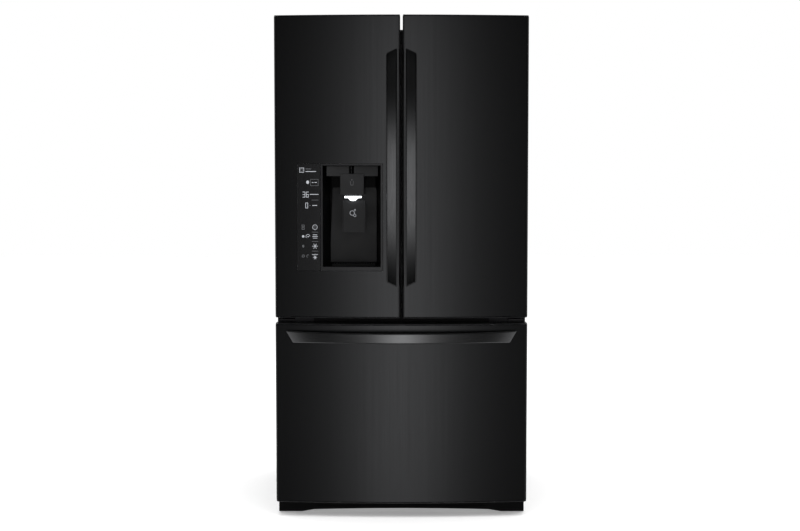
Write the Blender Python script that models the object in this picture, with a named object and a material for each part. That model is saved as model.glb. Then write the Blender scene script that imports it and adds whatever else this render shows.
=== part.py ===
"""A french door refrigerator with a bottom freezer drawer, as separate pieces on their joint axes."""

import math

import bmesh
import bpy
from mathutils import Matrix, Vector

# Driving dimensions in metres. +X is the viewer's right, -Y is the front, +Z is up.
WIDTH = 0.908              # across the two doors
DOOR_TOP = 1.803           # floor to the top of the doors
CASE_DEPTH = 0.752         # cabinet, front plane to back plane
CASE_INSET = 0.003         # the doors stand this far past each side of the cabinet
CASE_TOP_DROP = 0.050      # top of the cabinet, below the top of the doors
CASE_BOTTOM = 0.078        # underside of the insulated body
WRAPPER_BOTTOM = 0.035     # lower edge of the painted sheet
SHEET = 0.0015             # painted sheet steel
LINER = 0.003              # moulded liner wall
GAP = 0.0003               # between two pieces that touch
GASKET_GAP = 0.012         # cabinet face to the back of a door
DOOR_EDGE = 0.055          # door thickness at the outer edge
CROWN = 0.030              # how far the middle of the front stands ahead of its edges
DOOR_GAP = 0.009           # between the two doors
DRAWER_TOP = 0.703         # freezer drawer front
DRAWER_BOTTOM = 0.053
PANEL_GAP = 0.0215         # between the drawer front and the doors
OUTER_ROUND = 0.010        # front corner of a panel's outer edge
INNER_ROUND = 0.006        # front corner of a door's inner edge
END_CAP = 0.003            # plastic cap at the top and bottom of a panel

HINGE_IN = 0.024           # hinge axis, in from a door's outer edge
HINGE_AHEAD = 0.030        # hinge axis, ahead of the back of a door
HINGE_ARM = 0.016          # width of a hinge arm
HINGE_PIN = 0.005          # radius
PIN_CLEARANCE = 0.0005
HINGE_NOTCH = 0.052        # depth of the notch in a door's top for the hinge
HINGE_NOTCH_AHEAD = 0.0178
HINGE_NOTCH_IN = 0.030

FRESH_WALL = 0.045         # outside of the cabinet to the inside of the fresh food space
FRESH_CEILING_DROP = 0.045  # below the top of the cabinet
FRESH_FLOOR_RISE = 0.046    # above the top of the drawer front
FRESH_DEPTH = 0.690
FREEZER_WALL = 0.055
FREEZER_CEILING_DROP = 0.024  # below the top of the drawer front
FREEZER_FLOOR_RISE = 0.065    # above the bottom of the drawer front
FREEZER_DEPTH = 0.520
MACHINE_TOP = 0.288        # top of the machine compartment
MACHINE_DEPTH = 0.180

DYKE_OUTER_INSET = 0.056   # raised rim on a door's back, from the outer edge
DYKE_INNER_INSET = 0.045
DYKE_WALL = 0.020
DYKE_REACH = 0.035         # into the cabinet
DYKE_CLEARANCE = 0.010     # above the floor and under the ceiling of a compartment
GASKET_WIDTH = 0.016
GASKET_INNER_INSET = 0.004
GASKET_MARGIN = 0.010      # from an opening's edge to the gasket above it
GASKET_LOWER_MARGIN = 0.0045

HANDLE_REACH = 0.058       # a handle's bow, from the panel
HANDLE_FOOT = 0.016        # height of a handle's ends
HANDLE_THICKNESS = 0.013
HANDLE_ROUND = 0.004
DOOR_HANDLE_WIDTH = 0.038
DOOR_HANDLE_INSET = 0.0155  # from the middle of the cabinet to a handle
DOOR_HANDLE_SHARE = 0.7872  # of a door's height
DOOR_HANDLE_AT = 0.4975     # its middle, as a share of a door's height
DOOR_HANDLE_SLANT = 0.018
DRAWER_HANDLE_SHARE = 0.9185  # of the width
DRAWER_HANDLE_DROP = 0.046    # below the top of the drawer front
DRAWER_HANDLE_HEIGHT = 0.037
DRAWER_HANDLE_FLARE = 0.008
DRAWER_HANDLE_SLANT = 0.026

BEZEL_IN = 0.066           # dispenser bezel, its right edge from the middle of the cabinet
BEZEL_RISE = 0.1695        # its lower edge, above the bottom of the doors
BEZEL_WIDTH = 0.306
BEZEL_HEIGHT = 0.383
BEZEL_THICKNESS = 0.006
BEZEL_PROUD = 0.0008
BEZEL_CLEARANCE = 0.0005
PANEL_WIDTH = 0.091        # control panel, left of the dispenser's recess
RECESS_EDGES = (0.0083, 0.015, 0.007)  # bezel to the right of, below and above the recess
RECESS_BACK = 0.012             # back wall, behind the door's back plane
RECESS_TAPER = (0.0205, 0.0123)  # how far the left and right walls lean in
RECESS_WALL = 0.0025
HUMP_REACH = 0.045              # insulation behind the recess, into the cabinet
HUMP_MARGIN = 0.018

ICE_REACH = 0.120               # ice compartment on the left door
ICE_WALL = 0.008
ICE_COVER = 0.010
BIN_WALL = 0.0025
BIN_CLEARANCE = 0.0005

CRISPER_FRONT = 0.190           # behind the cabinet's front plane
CRISPER_BACK_ROOM = 0.070       # from the back of the fresh food space
PANTRY_HEIGHT = 0.121           # fresh food floor to the divider below the crispers
CRISPER_HEIGHT = 0.180
SHELF_FRONT = 0.140
SHELF_BACK_ROOM = 0.050
SHELF_THICKNESS = 0.012
LEFT_SHELF_AT = 0.510           # shares of the fresh food space's height
RIGHT_SHELF_AT = 0.6767
LOWER_BIN_AT = 0.3535
UPPER_BIN_AT = 0.6976
SLIDE_CLEARANCE = 0.0015

RAIL_HEIGHT = 0.035
RAIL_DROP = 0.256               # underside of a rail, below the freezer's ceiling
RAIL_THICKNESS = 0.008
MIDDLE_RAIL_THICKNESS = 0.006
RAIL_FRONT = 0.024
RAIL_BACK = 0.470
BASKET_IN = 0.031               # from the freezer's side wall
BASKET_RISE = 0.015             # above the freezer's floor
BASKET_BACK = 0.460
FLAP_WIDTH = 0.066
FLAP_THICKNESS = 0.012
FLAP_PIN = 0.0026
FLAP_AXIS_IN = 0.034            # from the middle of the cabinet
FLAP_MARGIN = 0.036

LEG_IN = 0.046                  # levelling leg, in from the cabinet's side
LEG_BACK = 0.045
ROLLER_RADIUS = 0.020
ROLLER_WIDTH = 0.022
ROLLER_AXLE = 0.004
ROLLER_FORWARD = 0.060
FRAME_BOTTOM = 0.063            # base frame's plate
GRILLE_TOP = 0.049
GRILLE_FOOT = 0.003

CORNER_STEPS = 3
CROWN_STEPS = 8
ROUND_STEPS = 20
BOW_STEPS = 14

# Planes and half widths that follow from them.
DEPTH = CASE_DEPTH + GASKET_GAP + DOOR_EDGE + CROWN + HANDLE_REACH
BACK_Y = DEPTH / 2
CASE_Y = BACK_Y - CASE_DEPTH
REAR_Y = CASE_Y - GASKET_GAP
EDGE_Y = REAR_Y - DOOR_EDGE
HALF = WIDTH / 2
CASE_HALF = HALF - CASE_INSET
CASE_TOP = DOOR_TOP - CASE_TOP_DROP
FRESH_CEILING = CASE_TOP - FRESH_CEILING_DROP
FRESH_FLOOR = DRAWER_TOP + FRESH_FLOOR_RISE
FRESH_HEIGHT = FRESH_CEILING - FRESH_FLOOR
FREEZER_CEILING = DRAWER_TOP - FREEZER_CEILING_DROP
FREEZER_FLOOR = DRAWER_BOTTOM + FREEZER_FLOOR_RISE
FRESH_HALF = CASE_HALF - FRESH_WALL
FREEZER_HALF = CASE_HALF - FREEZER_WALL
BODY_HALF = CASE_HALF - SHEET - GAP
DOOR_BOTTOM = DRAWER_TOP + PANEL_GAP
DOOR_HEIGHT = DOOR_TOP - DOOR_BOTTOM
CRISPER_FLOOR = FRESH_FLOOR + PANTRY_HEIGHT
CRISPER_TOP = CRISPER_FLOOR + CRISPER_HEIGHT
CRISPER_BACK = FRESH_DEPTH - CRISPER_BACK_ROOM
SHELF_BACK = FRESH_DEPTH - SHELF_BACK_ROOM
RAIL_LOW = FREEZER_CEILING - RAIL_DROP
BASKET_HALF = FREEZER_HALF - BASKET_IN
BASKET_LOW = FREEZER_FLOOR + BASKET_RISE
BEZEL_LOW = (-BEZEL_IN - BEZEL_WIDTH, DOOR_BOTTOM + BEZEL_RISE)
BEZEL_HIGH = (-BEZEL_IN, DOOR_BOTTOM + BEZEL_RISE + BEZEL_HEIGHT)
RECESS_LOW = (BEZEL_LOW[0] + PANEL_WIDTH, BEZEL_LOW[1] + RECESS_EDGES[1])
RECESS_HIGH = (BEZEL_HIGH[0] - RECESS_EDGES[0], BEZEL_HIGH[1] - RECESS_EDGES[2])
HINGE_X = HALF - HINGE_IN
HINGE_Y = REAR_Y - HINGE_AHEAD
NOTCH_FLOOR = DOOR_TOP - HINGE_NOTCH
DYKE_OUTER = HALF - DYKE_OUTER_INSET
DYKE_INNER = DOOR_GAP / 2 + DYKE_INNER_INSET
DYKE_LOW = FRESH_FLOOR + DYKE_CLEARANCE
DYKE_HIGH = FRESH_CEILING - DYKE_CLEARANCE
DYKE_BACK_Y = CASE_Y + DYKE_REACH
RECESS_BACK_Y = REAR_Y + RECESS_BACK
HUMP_LOW = BEZEL_LOW[1] - HUMP_MARGIN
ICE_LOW = BEZEL_HIGH[1] + HUMP_MARGIN
FLAP_Y = CASE_Y + FLAP_THICKNESS / 2 + 0.0005
GRILLE_COVER = CASE_HALF - 0.086   # the leg covers reach in to here
GRILLE_RAMP = CASE_HALF - 0.131

FINISHES = {
    "black_steel": ((0.012, 0.012, 0.013), 0.33, 0.35),
    "cabinet_paint": ((0.010, 0.010, 0.011), 0.45, 0.0),
    "galvanised": ((0.45, 0.46, 0.47), 0.45, 0.9),
    "black_gloss": ((0.006, 0.006, 0.007), 0.12, 0.0),
    "black_plastic": ((0.012, 0.012, 0.012), 0.5, 0.0),
    "grey_plastic": ((0.16, 0.16, 0.17), 0.45, 0.0),
    "white_plastic": ((0.80, 0.81, 0.82), 0.35, 0.0),
    "clear_plastic": ((0.78, 0.83, 0.86), 0.12, 0.0),
    "glass": ((0.72, 0.82, 0.80), 0.05, 0.0),
    "gasket": ((0.03, 0.03, 0.032), 0.7, 0.0),
    "foam": ((0.75, 0.70, 0.52), 0.9, 0.0),
    "zinc": ((0.58, 0.58, 0.56), 0.35, 0.9),
    "lamp": ((0.92, 0.95, 1.0), 0.3, 0.0),
}


def clear_scene():
    for obj in list(bpy.data.objects):
        bpy.data.objects.remove(obj, do_unlink=True)


def front_y(x):
    """The crowned front, as one curve across both doors and the drawer."""
    return EDGE_Y - CROWN * (1 - (x / HALF) ** 2)


def pivot_at(name, location):
    """An empty on a joint's axis, which the pieces of the moving body hang from."""
    empty = bpy.data.objects.new(name, None)
    empty.location = location
    empty.empty_display_size = 0.05
    bpy.context.collection.objects.link(empty)
    return empty


def finish_material(name, finish):
    colour, roughness, metallic = FINISHES[finish]
    made = bpy.data.materials.new(name + "_" + finish)
    made.use_nodes = True
    shader = made.node_tree.nodes["Principled BSDF"]
    shader.inputs["Base Color"].default_value = (*colour, 1.0)
    shader.inputs["Roughness"].default_value = roughness
    shader.inputs["Metallic"].default_value = metallic
    return made


def object_from(name, bm, pivot):
    """A mesh drawn in world space becomes an object whose origin is its pivot."""
    if pivot:
        bmesh.ops.translate(bm, vec=-pivot.location, verts=bm.verts)
    mesh = bpy.data.meshes.new(name)
    bm.to_mesh(mesh)
    bm.free()
    obj = bpy.data.objects.new(name, mesh)
    obj.parent = pivot
    bpy.context.collection.objects.link(obj)
    return obj


def make_piece(name, bm, finish, pivot=None):
    obj = object_from(name, bm, pivot)
    obj.data.materials.append(finish_material(name, finish))
    return obj


def combine(obj, bm, operation="DIFFERENCE"):
    """Cuts a helper shape from a piece, or joins it on."""
    helper = object_from(f"{obj.name}_helper", bm, obj.parent)
    helper.hide_render = True
    helper.display_type = "WIRE"
    boolean = obj.modifiers.new(operation.title(), "BOOLEAN")
    boolean.operation = operation
    boolean.object = helper


def cut_box(obj, low, high):
    bm = bmesh.new()
    add_box(bm, low, high)
    combine(obj, bm)


def join_box(obj, low, high):
    bm = bmesh.new()
    add_box(bm, low, high)
    combine(obj, bm, "UNION")


def add_box(bm, low, high):
    low, high = Vector(map(min, low, high)), Vector(map(max, low, high))
    place = Matrix.Translation((low + high) / 2) @ Matrix.Diagonal((*(high - low), 1))
    return bmesh.ops.create_cube(bm, size=1, matrix=place)["verts"]


def add_prism(bm, outline, axis, low, high):
    """An outline in the two other axes, extruded along this one."""
    first, second = [k for k in range(3) if k != axis]
    verts = []
    for u, v in outline:
        point = Vector((low, low, low))
        point[first] = u
        point[second] = v
        verts.append(bm.verts.new(point))
    face = bm.faces.new(verts)
    grown = bmesh.ops.extrude_face_region(bm, geom=[face])["geom"]
    shift = Vector((0, 0, 0))
    shift[axis] = high - low
    tops = [item for item in grown if isinstance(item, bmesh.types.BMVert)]
    bmesh.ops.translate(bm, vec=shift, verts=tops)
    bmesh.ops.recalc_face_normals(bm, faces=bm.faces)


def add_turned(bm, profile, centre, axis, steps=ROUND_STEPS):
    """A profile of (radius, height) points, from the axis to the axis, turned round it."""
    centre, axis = Vector(centre), Vector(axis)
    turn = axis.to_track_quat("Z", "Y").to_matrix()
    verts = [bm.verts.new(centre + turn @ Vector((r, 0, h))) for r, h in profile]
    edges = [bm.edges.new(pair) for pair in zip(verts, verts[1:])]
    bmesh.ops.spin(
        bm, geom=verts + edges, cent=centre, axis=axis, angle=math.tau, steps=steps
    )
    bmesh.ops.remove_doubles(bm, verts=bm.verts, dist=1e-6)
    bmesh.ops.recalc_face_normals(bm, faces=bm.faces)


def add_cylinder(bm, radius, low, high, centre, axis, steps=ROUND_STEPS):
    """Low and high are along the axis, from the centre."""
    add_turned(bm, [(0, low), (radius, low), (radius, high), (0, high)], centre, axis, steps)


def add_tray(bm, low, high, wall, open_side):
    """A box with one open side: that face is inset by the wall and pushed in."""
    verts = add_box(bm, low, high)
    outward = Vector(open_side)
    faces = {face for vert in verts for face in vert.link_faces}
    face = max(faces, key=lambda f: f.normal.dot(outward))
    bmesh.ops.inset_region(bm, faces=[face], thickness=wall)
    inner = bmesh.ops.extrude_discrete_faces(bm, faces=[face])["faces"][0]
    size = Vector(high) - Vector(low)
    depth = abs(size.dot(outward)) - wall
    bmesh.ops.translate(bm, vec=-outward * depth, verts=inner.verts)


def shade_round(obj, degrees=35):
    obj.data.shade_smooth()
    obj.data.set_sharp_from_angle(angle=math.radians(degrees))


def soften(obj, width, segments=2):
    bevel = obj.modifiers.new("Bevel", "BEVEL")
    bevel.width = width
    bevel.segments = segments
    bevel.limit_method = "ANGLE"
    bevel.angle_limit = math.radians(40)


# ---- panels: the two doors and the drawer front share one crowned section


def crowned_outline(x_low, x_high, inset, low_round, high_round):
    """Plan section of a panel, inset from its outside, open along the back plane."""
    left, right = x_low + inset, x_high - inset
    points = [(left, REAR_Y)]
    for side, centre_x, radius in (
        (180, left + low_round, low_round),
        (270, right - high_round, high_round),
    ):
        if side == 270:
            start = points[-1][0]
            for step in range(1, CROWN_STEPS):
                x = start + (centre_x - start) * step / CROWN_STEPS
                points.append((x, front_y(x) + inset))
        centre_y = front_y(centre_x) + inset + radius
        for step in range(CORNER_STEPS + 1):
            angle = math.radians(side + 90 * step / CORNER_STEPS)
            points.append((centre_x + radius * math.cos(angle), centre_y + radius * math.sin(angle)))
    points.append((right, REAR_Y))
    return points


def panel_rounds(x_low, x_high):
    return [OUTER_ROUND if abs(x) > HALF - GAP else INNER_ROUND for x in (x_low, x_high)]


def make_skin(name, x_low, x_high, z_low, z_high, pivot):
    """Folded sheet steel: the front and both sides, open at the back and at both ends."""
    rounds = panel_rounds(x_low, x_high)
    outer = crowned_outline(x_low, x_high, 0, *rounds)
    inner = crowned_outline(x_low, x_high, SHEET, *[r - SHEET for r in rounds])
    bm = bmesh.new()
    add_prism(bm, outer + inner[::-1], 2, z_low + END_CAP + GAP, z_high - END_CAP - GAP)
    obj = make_piece(name, bm, "black_steel", pivot)
    shade_round(obj)
    return obj


def make_panel_core(name, x_low, x_high, z_low, z_high, pivot):
    """The foamed liner of a panel, with its end caps, which the skin wraps."""
    rounds = panel_rounds(x_low, x_high)
    inset = SHEET + GAP
    core = crowned_outline(x_low, x_high, inset, *[r - inset for r in rounds])
    bm = bmesh.new()
    add_prism(bm, core, 2, z_low + END_CAP / 2, z_high - END_CAP / 2)
    obj = make_piece(name, bm, "white_plastic", pivot)
    cap = crowned_outline(x_low, x_high, 0, *rounds)
    for low, high in ((z_low, z_low + END_CAP), (z_high - END_CAP, z_high)):
        bm = bmesh.new()
        add_prism(bm, cap, 2, low, high)
        combine(obj, bm, "UNION")
    shade_round(obj)
    return obj


def make_gasket(name, x_low, x_high, z_low, z_high, pivot):
    bm = bmesh.new()
    add_box(bm, (x_low, REAR_Y + GAP, z_low), (x_high, CASE_Y - GAP, z_high))
    obj = make_piece(name, bm, "gasket", pivot)
    cut_box(
        obj,
        (x_low + GASKET_WIDTH, REAR_Y - GASKET_GAP, z_low + GASKET_WIDTH),
        (x_high - GASKET_WIDTH, CASE_Y + GASKET_GAP, z_high - GASKET_WIDTH),
    )


def bow_outline():
    """Side view of a handle: (share of its half length, distance out from the panel)."""
    inner_end = 0.93
    outer = [-1 + 2 * step / BOW_STEPS for step in range(BOW_STEPS + 1)]
    points = [(-1, GAP)] + [(s, bow(s)) for s in outer] + [(1, GAP), (inner_end, GAP)]
    for s in reversed(outer[1:-1]):
        share = s / outer[-2] * inner_end
        points.append((share, bow(share) - HANDLE_THICKNESS))
    return points + [(-inner_end, GAP)]


def bow(share):
    return HANDLE_FOOT + (HANDLE_REACH - HANDLE_FOOT) * (1 - share**2)


def make_handle(name, place, pivot):
    """Place turns (side of the strap, share of its half length, distance out) into a point."""
    bm = bmesh.new()
    add_prism(bm, bow_outline(), 0, -1, 1)
    for vert in bm.verts:
        vert.co = place(*vert.co)
    bmesh.ops.recalc_face_normals(bm, faces=bm.faces)
    obj = make_piece(name, bm, "black_steel", pivot)
    soften(obj, HANDLE_ROUND)
    shade_round(obj, 50)


def make_door_handle(name, side, pivot):
    centre = side * (DOOR_HANDLE_INSET + DOOR_HANDLE_WIDTH / 2)
    middle = DOOR_BOTTOM + DOOR_HEIGHT * DOOR_HANDLE_AT

    def place(across, share, out):
        x = centre + across * DOOR_HANDLE_WIDTH / 2
        slant = DOOR_HANDLE_SLANT * (across * side + 1) / 2 * abs(share) ** 6
        length = DOOR_HEIGHT * DOOR_HANDLE_SHARE / 2 - slant
        return Vector((x, front_y(x) - out, middle + share * length))

    make_handle(name, place, pivot)


def make_drawer_handle(pivot):
    middle = DRAWER_TOP - DRAWER_HANDLE_DROP

    def place(across, share, out):
        slant = DRAWER_HANDLE_SLANT * (1 - across) / 2 * abs(share) ** 6
        x = share * (WIDTH * DRAWER_HANDLE_SHARE / 2 - slant)
        height = DRAWER_HANDLE_HEIGHT + DRAWER_HANDLE_FLARE * share**4
        return Vector((x, front_y(x) - out, middle + across * height / 2))

    make_handle("drawer_handle", place, pivot)


# ---- cabinet


def make_cabinet():
    inner, low, top = CASE_HALF - SHEET, WRAPPER_BOTTOM, CASE_TOP - SHEET
    bm = bmesh.new()
    outline = [(-CASE_HALF, low), (-CASE_HALF, CASE_TOP), (CASE_HALF, CASE_TOP), (CASE_HALF, low)]
    outline += [(inner, low), (inner, top), (-inner, top), (-inner, low)]
    add_prism(bm, outline, 1, CASE_Y, BACK_Y)
    make_piece("cabinet_wrapper", bm, "cabinet_paint")

    top = CASE_TOP - SHEET - GAP
    bm = bmesh.new()
    add_box(bm, (-BODY_HALF, CASE_Y, CASE_BOTTOM), (BODY_HALF, CASE_Y + SHEET, top))
    face = make_piece("face_frame", bm, "cabinet_paint")
    bm = bmesh.new()
    add_box(
        bm,
        (-BODY_HALF, CASE_Y + SHEET + GAP, CASE_BOTTOM + GAP),
        (BODY_HALF, BACK_Y - SHEET - GAP, top),
    )
    body = make_piece("insulation_body", bm, "foam")
    for half, low, high, depth, name in (
        (FRESH_HALF, FRESH_FLOOR, FRESH_CEILING, FRESH_DEPTH, "fresh_food_liner"),
        (FREEZER_HALF, FREEZER_FLOOR, FREEZER_CEILING, FREEZER_DEPTH, "freezer_liner"),
    ):
        cut_box(face, (-half, CASE_Y - 1, low), (half, CASE_Y + 1, high))
        out = LINER + GAP
        cut_box(
            body,
            (-half - out, CASE_Y - GAP, low - out),
            (half + out, CASE_Y + depth + out, high + out),
        )
        bm = bmesh.new()
        add_tray(
            bm,
            (-half - LINER, CASE_Y + SHEET + GAP, low - LINER),
            (half + LINER, CASE_Y + depth + LINER, high + LINER),
            LINER,
            (0, -1, 0),
        )
        make_piece(name, bm, "white_plastic")
    cut_box(
        body,
        (-CASE_HALF, BACK_Y - MACHINE_DEPTH, CASE_BOTTOM - GAP),
        (CASE_HALF, BACK_Y + GAP, MACHINE_TOP),
    )


def make_rear():
    """The sheet over the back, and the louvred cover of the machine compartment."""
    low = MACHINE_TOP - 0.010
    bm = bmesh.new()
    add_box(
        bm, (-BODY_HALF, BACK_Y - SHEET, low), (BODY_HALF, BACK_Y, CASE_TOP - SHEET - GAP)
    )
    make_piece("rear_panel", bm, "galvanised")

    cover_low = (0.121 - BODY_HALF, FRAME_BOTTOM + 0.020)
    cover_high = (BODY_HALF - 0.010, low - 0.002)
    bm = bmesh.new()
    add_box(
        bm,
        (cover_low[0], BACK_Y - SHEET, cover_low[1]),
        (cover_high[0], BACK_Y, cover_high[1]),
    )
    cover = make_piece("machine_cover", bm, "black_plastic")
    columns, rows, slot, step = 3, 6, (0.150, 0.005), 0.022
    pitch = (cover_high[0] - cover_low[0] - 0.075) / columns
    bm = bmesh.new()
    for column in range(columns):
        for row in range(rows):
            x = cover_low[0] + 0.075 + column * pitch
            z = cover_low[1] + 0.035 + row * step
            add_box(bm, (x, BACK_Y - 0.01, z), (x + slot[0], BACK_Y + 0.01, z + slot[1]))
    combine(cover, bm)


def make_base():
    """The base frame carries the levelling legs at the front and the rollers at the back."""
    top = CASE_BOTTOM - GAP
    half, front, back = CASE_HALF - 0.011, CASE_Y + 0.002, BACK_Y - 0.004
    bm = bmesh.new()
    add_box(bm, (-half, front, FRAME_BOTTOM), (half, back, top))
    frame = make_piece("base_frame", bm, "galvanised")
    for side in (-1, 1):
        leg = (side * (CASE_HALF - LEG_IN), CASE_Y + LEG_BACK, 0)
        bm = bmesh.new()
        add_cylinder(bm, 0.0068, FRAME_BOTTOM - 0.01, top + 0.01, leg, (0, 0, 1))
        combine(frame, bm)
        roller = (side * (CASE_HALF - LEG_IN), BACK_Y - ROLLER_FORWARD, ROLLER_RADIUS)
        room = ROLLER_WIDTH / 2 + 0.0015
        for way in (-1, 1):
            near, far = roller[0] + way * room, roller[0] + way * (room + 0.003)
            join_box(
                frame,
                (near, roller[1] - 0.012, ROLLER_RADIUS - 0.010),
                (far, roller[1] + 0.012, FRAME_BOTTOM + 0.002),
            )
        bm = bmesh.new()
        add_cylinder(bm, ROLLER_AXLE + PIN_CLEARANCE, -0.02, 0.02, roller, (1, 0, 0), 12)
        combine(frame, bm)
        name = "left" if side < 0 else "right"
        make_leg(f"{name}_levelling_leg", leg)
        make_roller(f"{name}_rear_roller", roller)


def make_leg(name, foot):
    """A threaded stud with a round foot and a collar that a spanner turns."""
    top = CASE_BOTTOM - 0.001
    profile = [(0, 0), (0.016, 0), (0.018, 0.003), (0.018, 0.009), (0.011, 0.011)]
    profile += [(0.011, 0.020), (0.006, 0.021), (0.006, top - 0.001), (0.005, top), (0, top)]
    pivot = pivot_at(f"{name}_axis", foot)
    bm = bmesh.new()
    add_turned(bm, profile, foot, (0, 0, 1))
    shade_round(make_piece(name, bm, "zinc", pivot))


def make_roller(name, centre):
    half, end = ROLLER_WIDTH / 2, ROLLER_WIDTH / 2 + 0.0045
    profile = [(0, -end), (ROLLER_AXLE, -end), (ROLLER_AXLE, -half), (0.018, -half)]
    profile += [(ROLLER_RADIUS, 0.002 - half), (ROLLER_RADIUS, half - 0.002), (0.018, half)]
    profile += [(ROLLER_AXLE, half), (ROLLER_AXLE, end), (0, end)]
    pivot = pivot_at(f"{name}_axis", centre)
    bm = bmesh.new()
    add_turned(bm, profile, centre, (1, 0, 0))
    shade_round(make_piece(name, bm, "black_plastic", pivot))


def grille_low(x):
    """The grille's lower edge: a cover at each leg, and a shallow arch between."""
    cover, ramp, arch = GRILLE_COVER, GRILLE_RAMP, 0.0115
    if abs(x) >= cover:
        return GRILLE_FOOT
    if abs(x) >= ramp:
        return GRILLE_FOOT + (arch - 0.004) * (cover - abs(x)) / (cover - ramp)
    return GRILLE_FOOT + arch - 0.004 * (x / ramp) ** 2


def make_grille():
    half = CASE_HALF - 0.002
    arch = [GRILLE_RAMP * k / 4 for k in range(-4, 5)]
    stops = [-half, -GRILLE_COVER, *arch, GRILLE_COVER, half]
    outline = [(x, grille_low(x)) for x in stops] + [(half, GRILLE_TOP), (-half, GRILLE_TOP)]
    bm = bmesh.new()
    add_prism(bm, outline, 1, CASE_Y - 0.010, CASE_Y - 0.0005)
    make_piece("base_grille", bm, "black_plastic")


def make_machine_room():
    floor = CASE_BOTTOM
    centre = Vector((CASE_HALF - 0.166, BACK_Y - 0.092, floor))
    profile = [(0, 0), (0.060, 0), (0.072, 0.012), (0.074, 0.070), (0.074, 0.095)]
    profile += [(0.068, 0.130), (0.045, 0.152), (0.020, 0.160), (0, 0.161)]
    bm = bmesh.new()
    add_turned(bm, profile, centre, (0, 0, 1))
    shade_round(make_piece("compressor", bm, "black_plastic"))

    low = Vector((-0.300, BACK_Y - 0.165, floor))
    high = Vector((0.110, BACK_Y - 0.020, floor + 0.028))
    bm = bmesh.new()
    add_tray(bm, low, high, 0.002, (0, 0, 1))
    make_piece("drain_pan", bm, "black_plastic")
    make_condenser(high.z + GAP)
    make_fan(floor)
    make_valve(floor)


def make_condenser(low):
    """A block of fins above and below a spine."""
    fins, pitch, start, high = 14, 0.020, -0.285, low + 0.150
    front, back = BACK_Y - 0.160, BACK_Y - 0.025
    spine = low + 0.070
    outline = [(start, low + 0.010)]
    for fin in range(fins):
        x = start + fin * pitch
        outline += [(x, high), (x + 0.004, high), (x + 0.004, spine), (x + pitch, spine)]
    end = start + fins * pitch
    outline += [(end, high), (end + 0.003, high), (end + 0.003, low), (end, low)]
    for fin in reversed(range(fins)):
        x = start + fin * pitch
        outline += [(x + pitch, low + 0.060), (x + 0.004, low + 0.060), (x + 0.004, low + 0.010)]
        if fin:
            outline.append((x, low + 0.010))
    bm = bmesh.new()
    add_prism(bm, outline, 1, front, back)
    make_piece("condenser", bm, "galvanised")


def make_fan(floor):
    """Blades on a hub: the two ends of the outline are turned against each other."""
    centre = Vector((0.055, BACK_Y - 0.092, floor + 0.108))
    hub, tip, blades, half, twist = 0.018, 0.066, 5, 0.010, 20
    rim = [(hub, -0.30), (hub, -0.06), (tip * 0.9, -0.28), (tip, -0.20), (tip, 0.16)]
    rim += [(tip * 0.9, 0.24), (hub, 0.10)]
    pivot = pivot_at("condenser_fan_axis", centre)
    bm = bmesh.new()
    outline = []
    for blade in range(blades):
        for radius, turn in rim:
            angle = (blade + turn) * math.tau / blades
            outline.append((centre.y + radius * math.cos(angle), centre.z + radius * math.sin(angle)))
    add_prism(bm, outline, 0, centre.x - half, centre.x + half)
    for vert in bm.verts:
        radius = (vert.co - centre).yz.length
        if radius > hub + GAP:
            way = math.copysign(math.radians(twist) / 2, vert.co.x - centre.x)
            vert.co = centre + Matrix.Rotation(way, 3, "X") @ (vert.co - centre)
    make_piece("condenser_fan", bm, "black_plastic", pivot)


def make_valve(floor):
    """The water inlet valve, with the thread that the house's line screws onto."""
    bm = bmesh.new()
    left = 0.031 - CASE_HALF
    add_box(bm, (left, BACK_Y - 0.060, floor + 0.060), (left + 0.070, BACK_Y - 0.018, floor + 0.110))
    valve = make_piece("water_valve", bm, "white_plastic")
    profile = [(0, -0.004), (0.009, -0.004), (0.009, 0.010), (0.013, 0.010), (0.013, 0.017)]
    profile += [(0, 0.017)]
    bm = bmesh.new()
    add_turned(bm, profile, (left + 0.035, BACK_Y - 0.018, floor + 0.085), (0, 1, 0), 16)
    combine(valve, bm, "UNION")


def make_top_hinge(name, side):
    """A plate bolted to the cabinet's top, with an arm and a pin over the door's axis."""
    low, high = CASE_TOP + GAP, CASE_TOP + GAP + 0.005
    axis_x, arm = side * HINGE_X, HINGE_ARM / 2
    outline = [(axis_x - arm, CASE_Y + 0.012), (axis_x - arm, HINGE_Y)]
    for step in range(1, 6):
        angle = math.radians(180 + 180 * step / 6)
        outline.append((axis_x + arm * math.cos(angle), HINGE_Y + arm * math.sin(angle)))
    outline += [(axis_x + arm, HINGE_Y), (axis_x + arm, CASE_Y + 0.012)]
    bm = bmesh.new()
    add_prism(bm, outline, 2, low, high)
    obj = make_piece(name, bm, "zinc")
    inner, outer = side * (HINGE_X - 0.055), side * (HINGE_X + 0.010)
    join_box(obj, (inner, CASE_Y + 0.011, low), (outer, CASE_Y + 0.100, high))
    bm = bmesh.new()
    add_cylinder(bm, HINGE_PIN, NOTCH_FLOOR - 0.016, low + 0.002, (axis_x, HINGE_Y, 0), (0, 0, 1), 16)
    combine(obj, bm, "UNION")

    base, height = high + GAP, 0.026
    outline = [(CASE_Y + 0.004, base), (CASE_Y + 0.004, base + height * 0.7)]
    outline += [(CASE_Y + 0.020, base + height), (CASE_Y + 0.110, base + height)]
    outline += [(CASE_Y + 0.130, base)]
    bm = bmesh.new()
    add_prism(bm, outline, 0, side * (HINGE_X - 0.068), side * (HINGE_X + 0.016))
    cover = make_piece(f"{name.split('_')[0]}_hinge_cover", bm, "black_plastic")
    soften(cover, 0.003)


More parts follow.
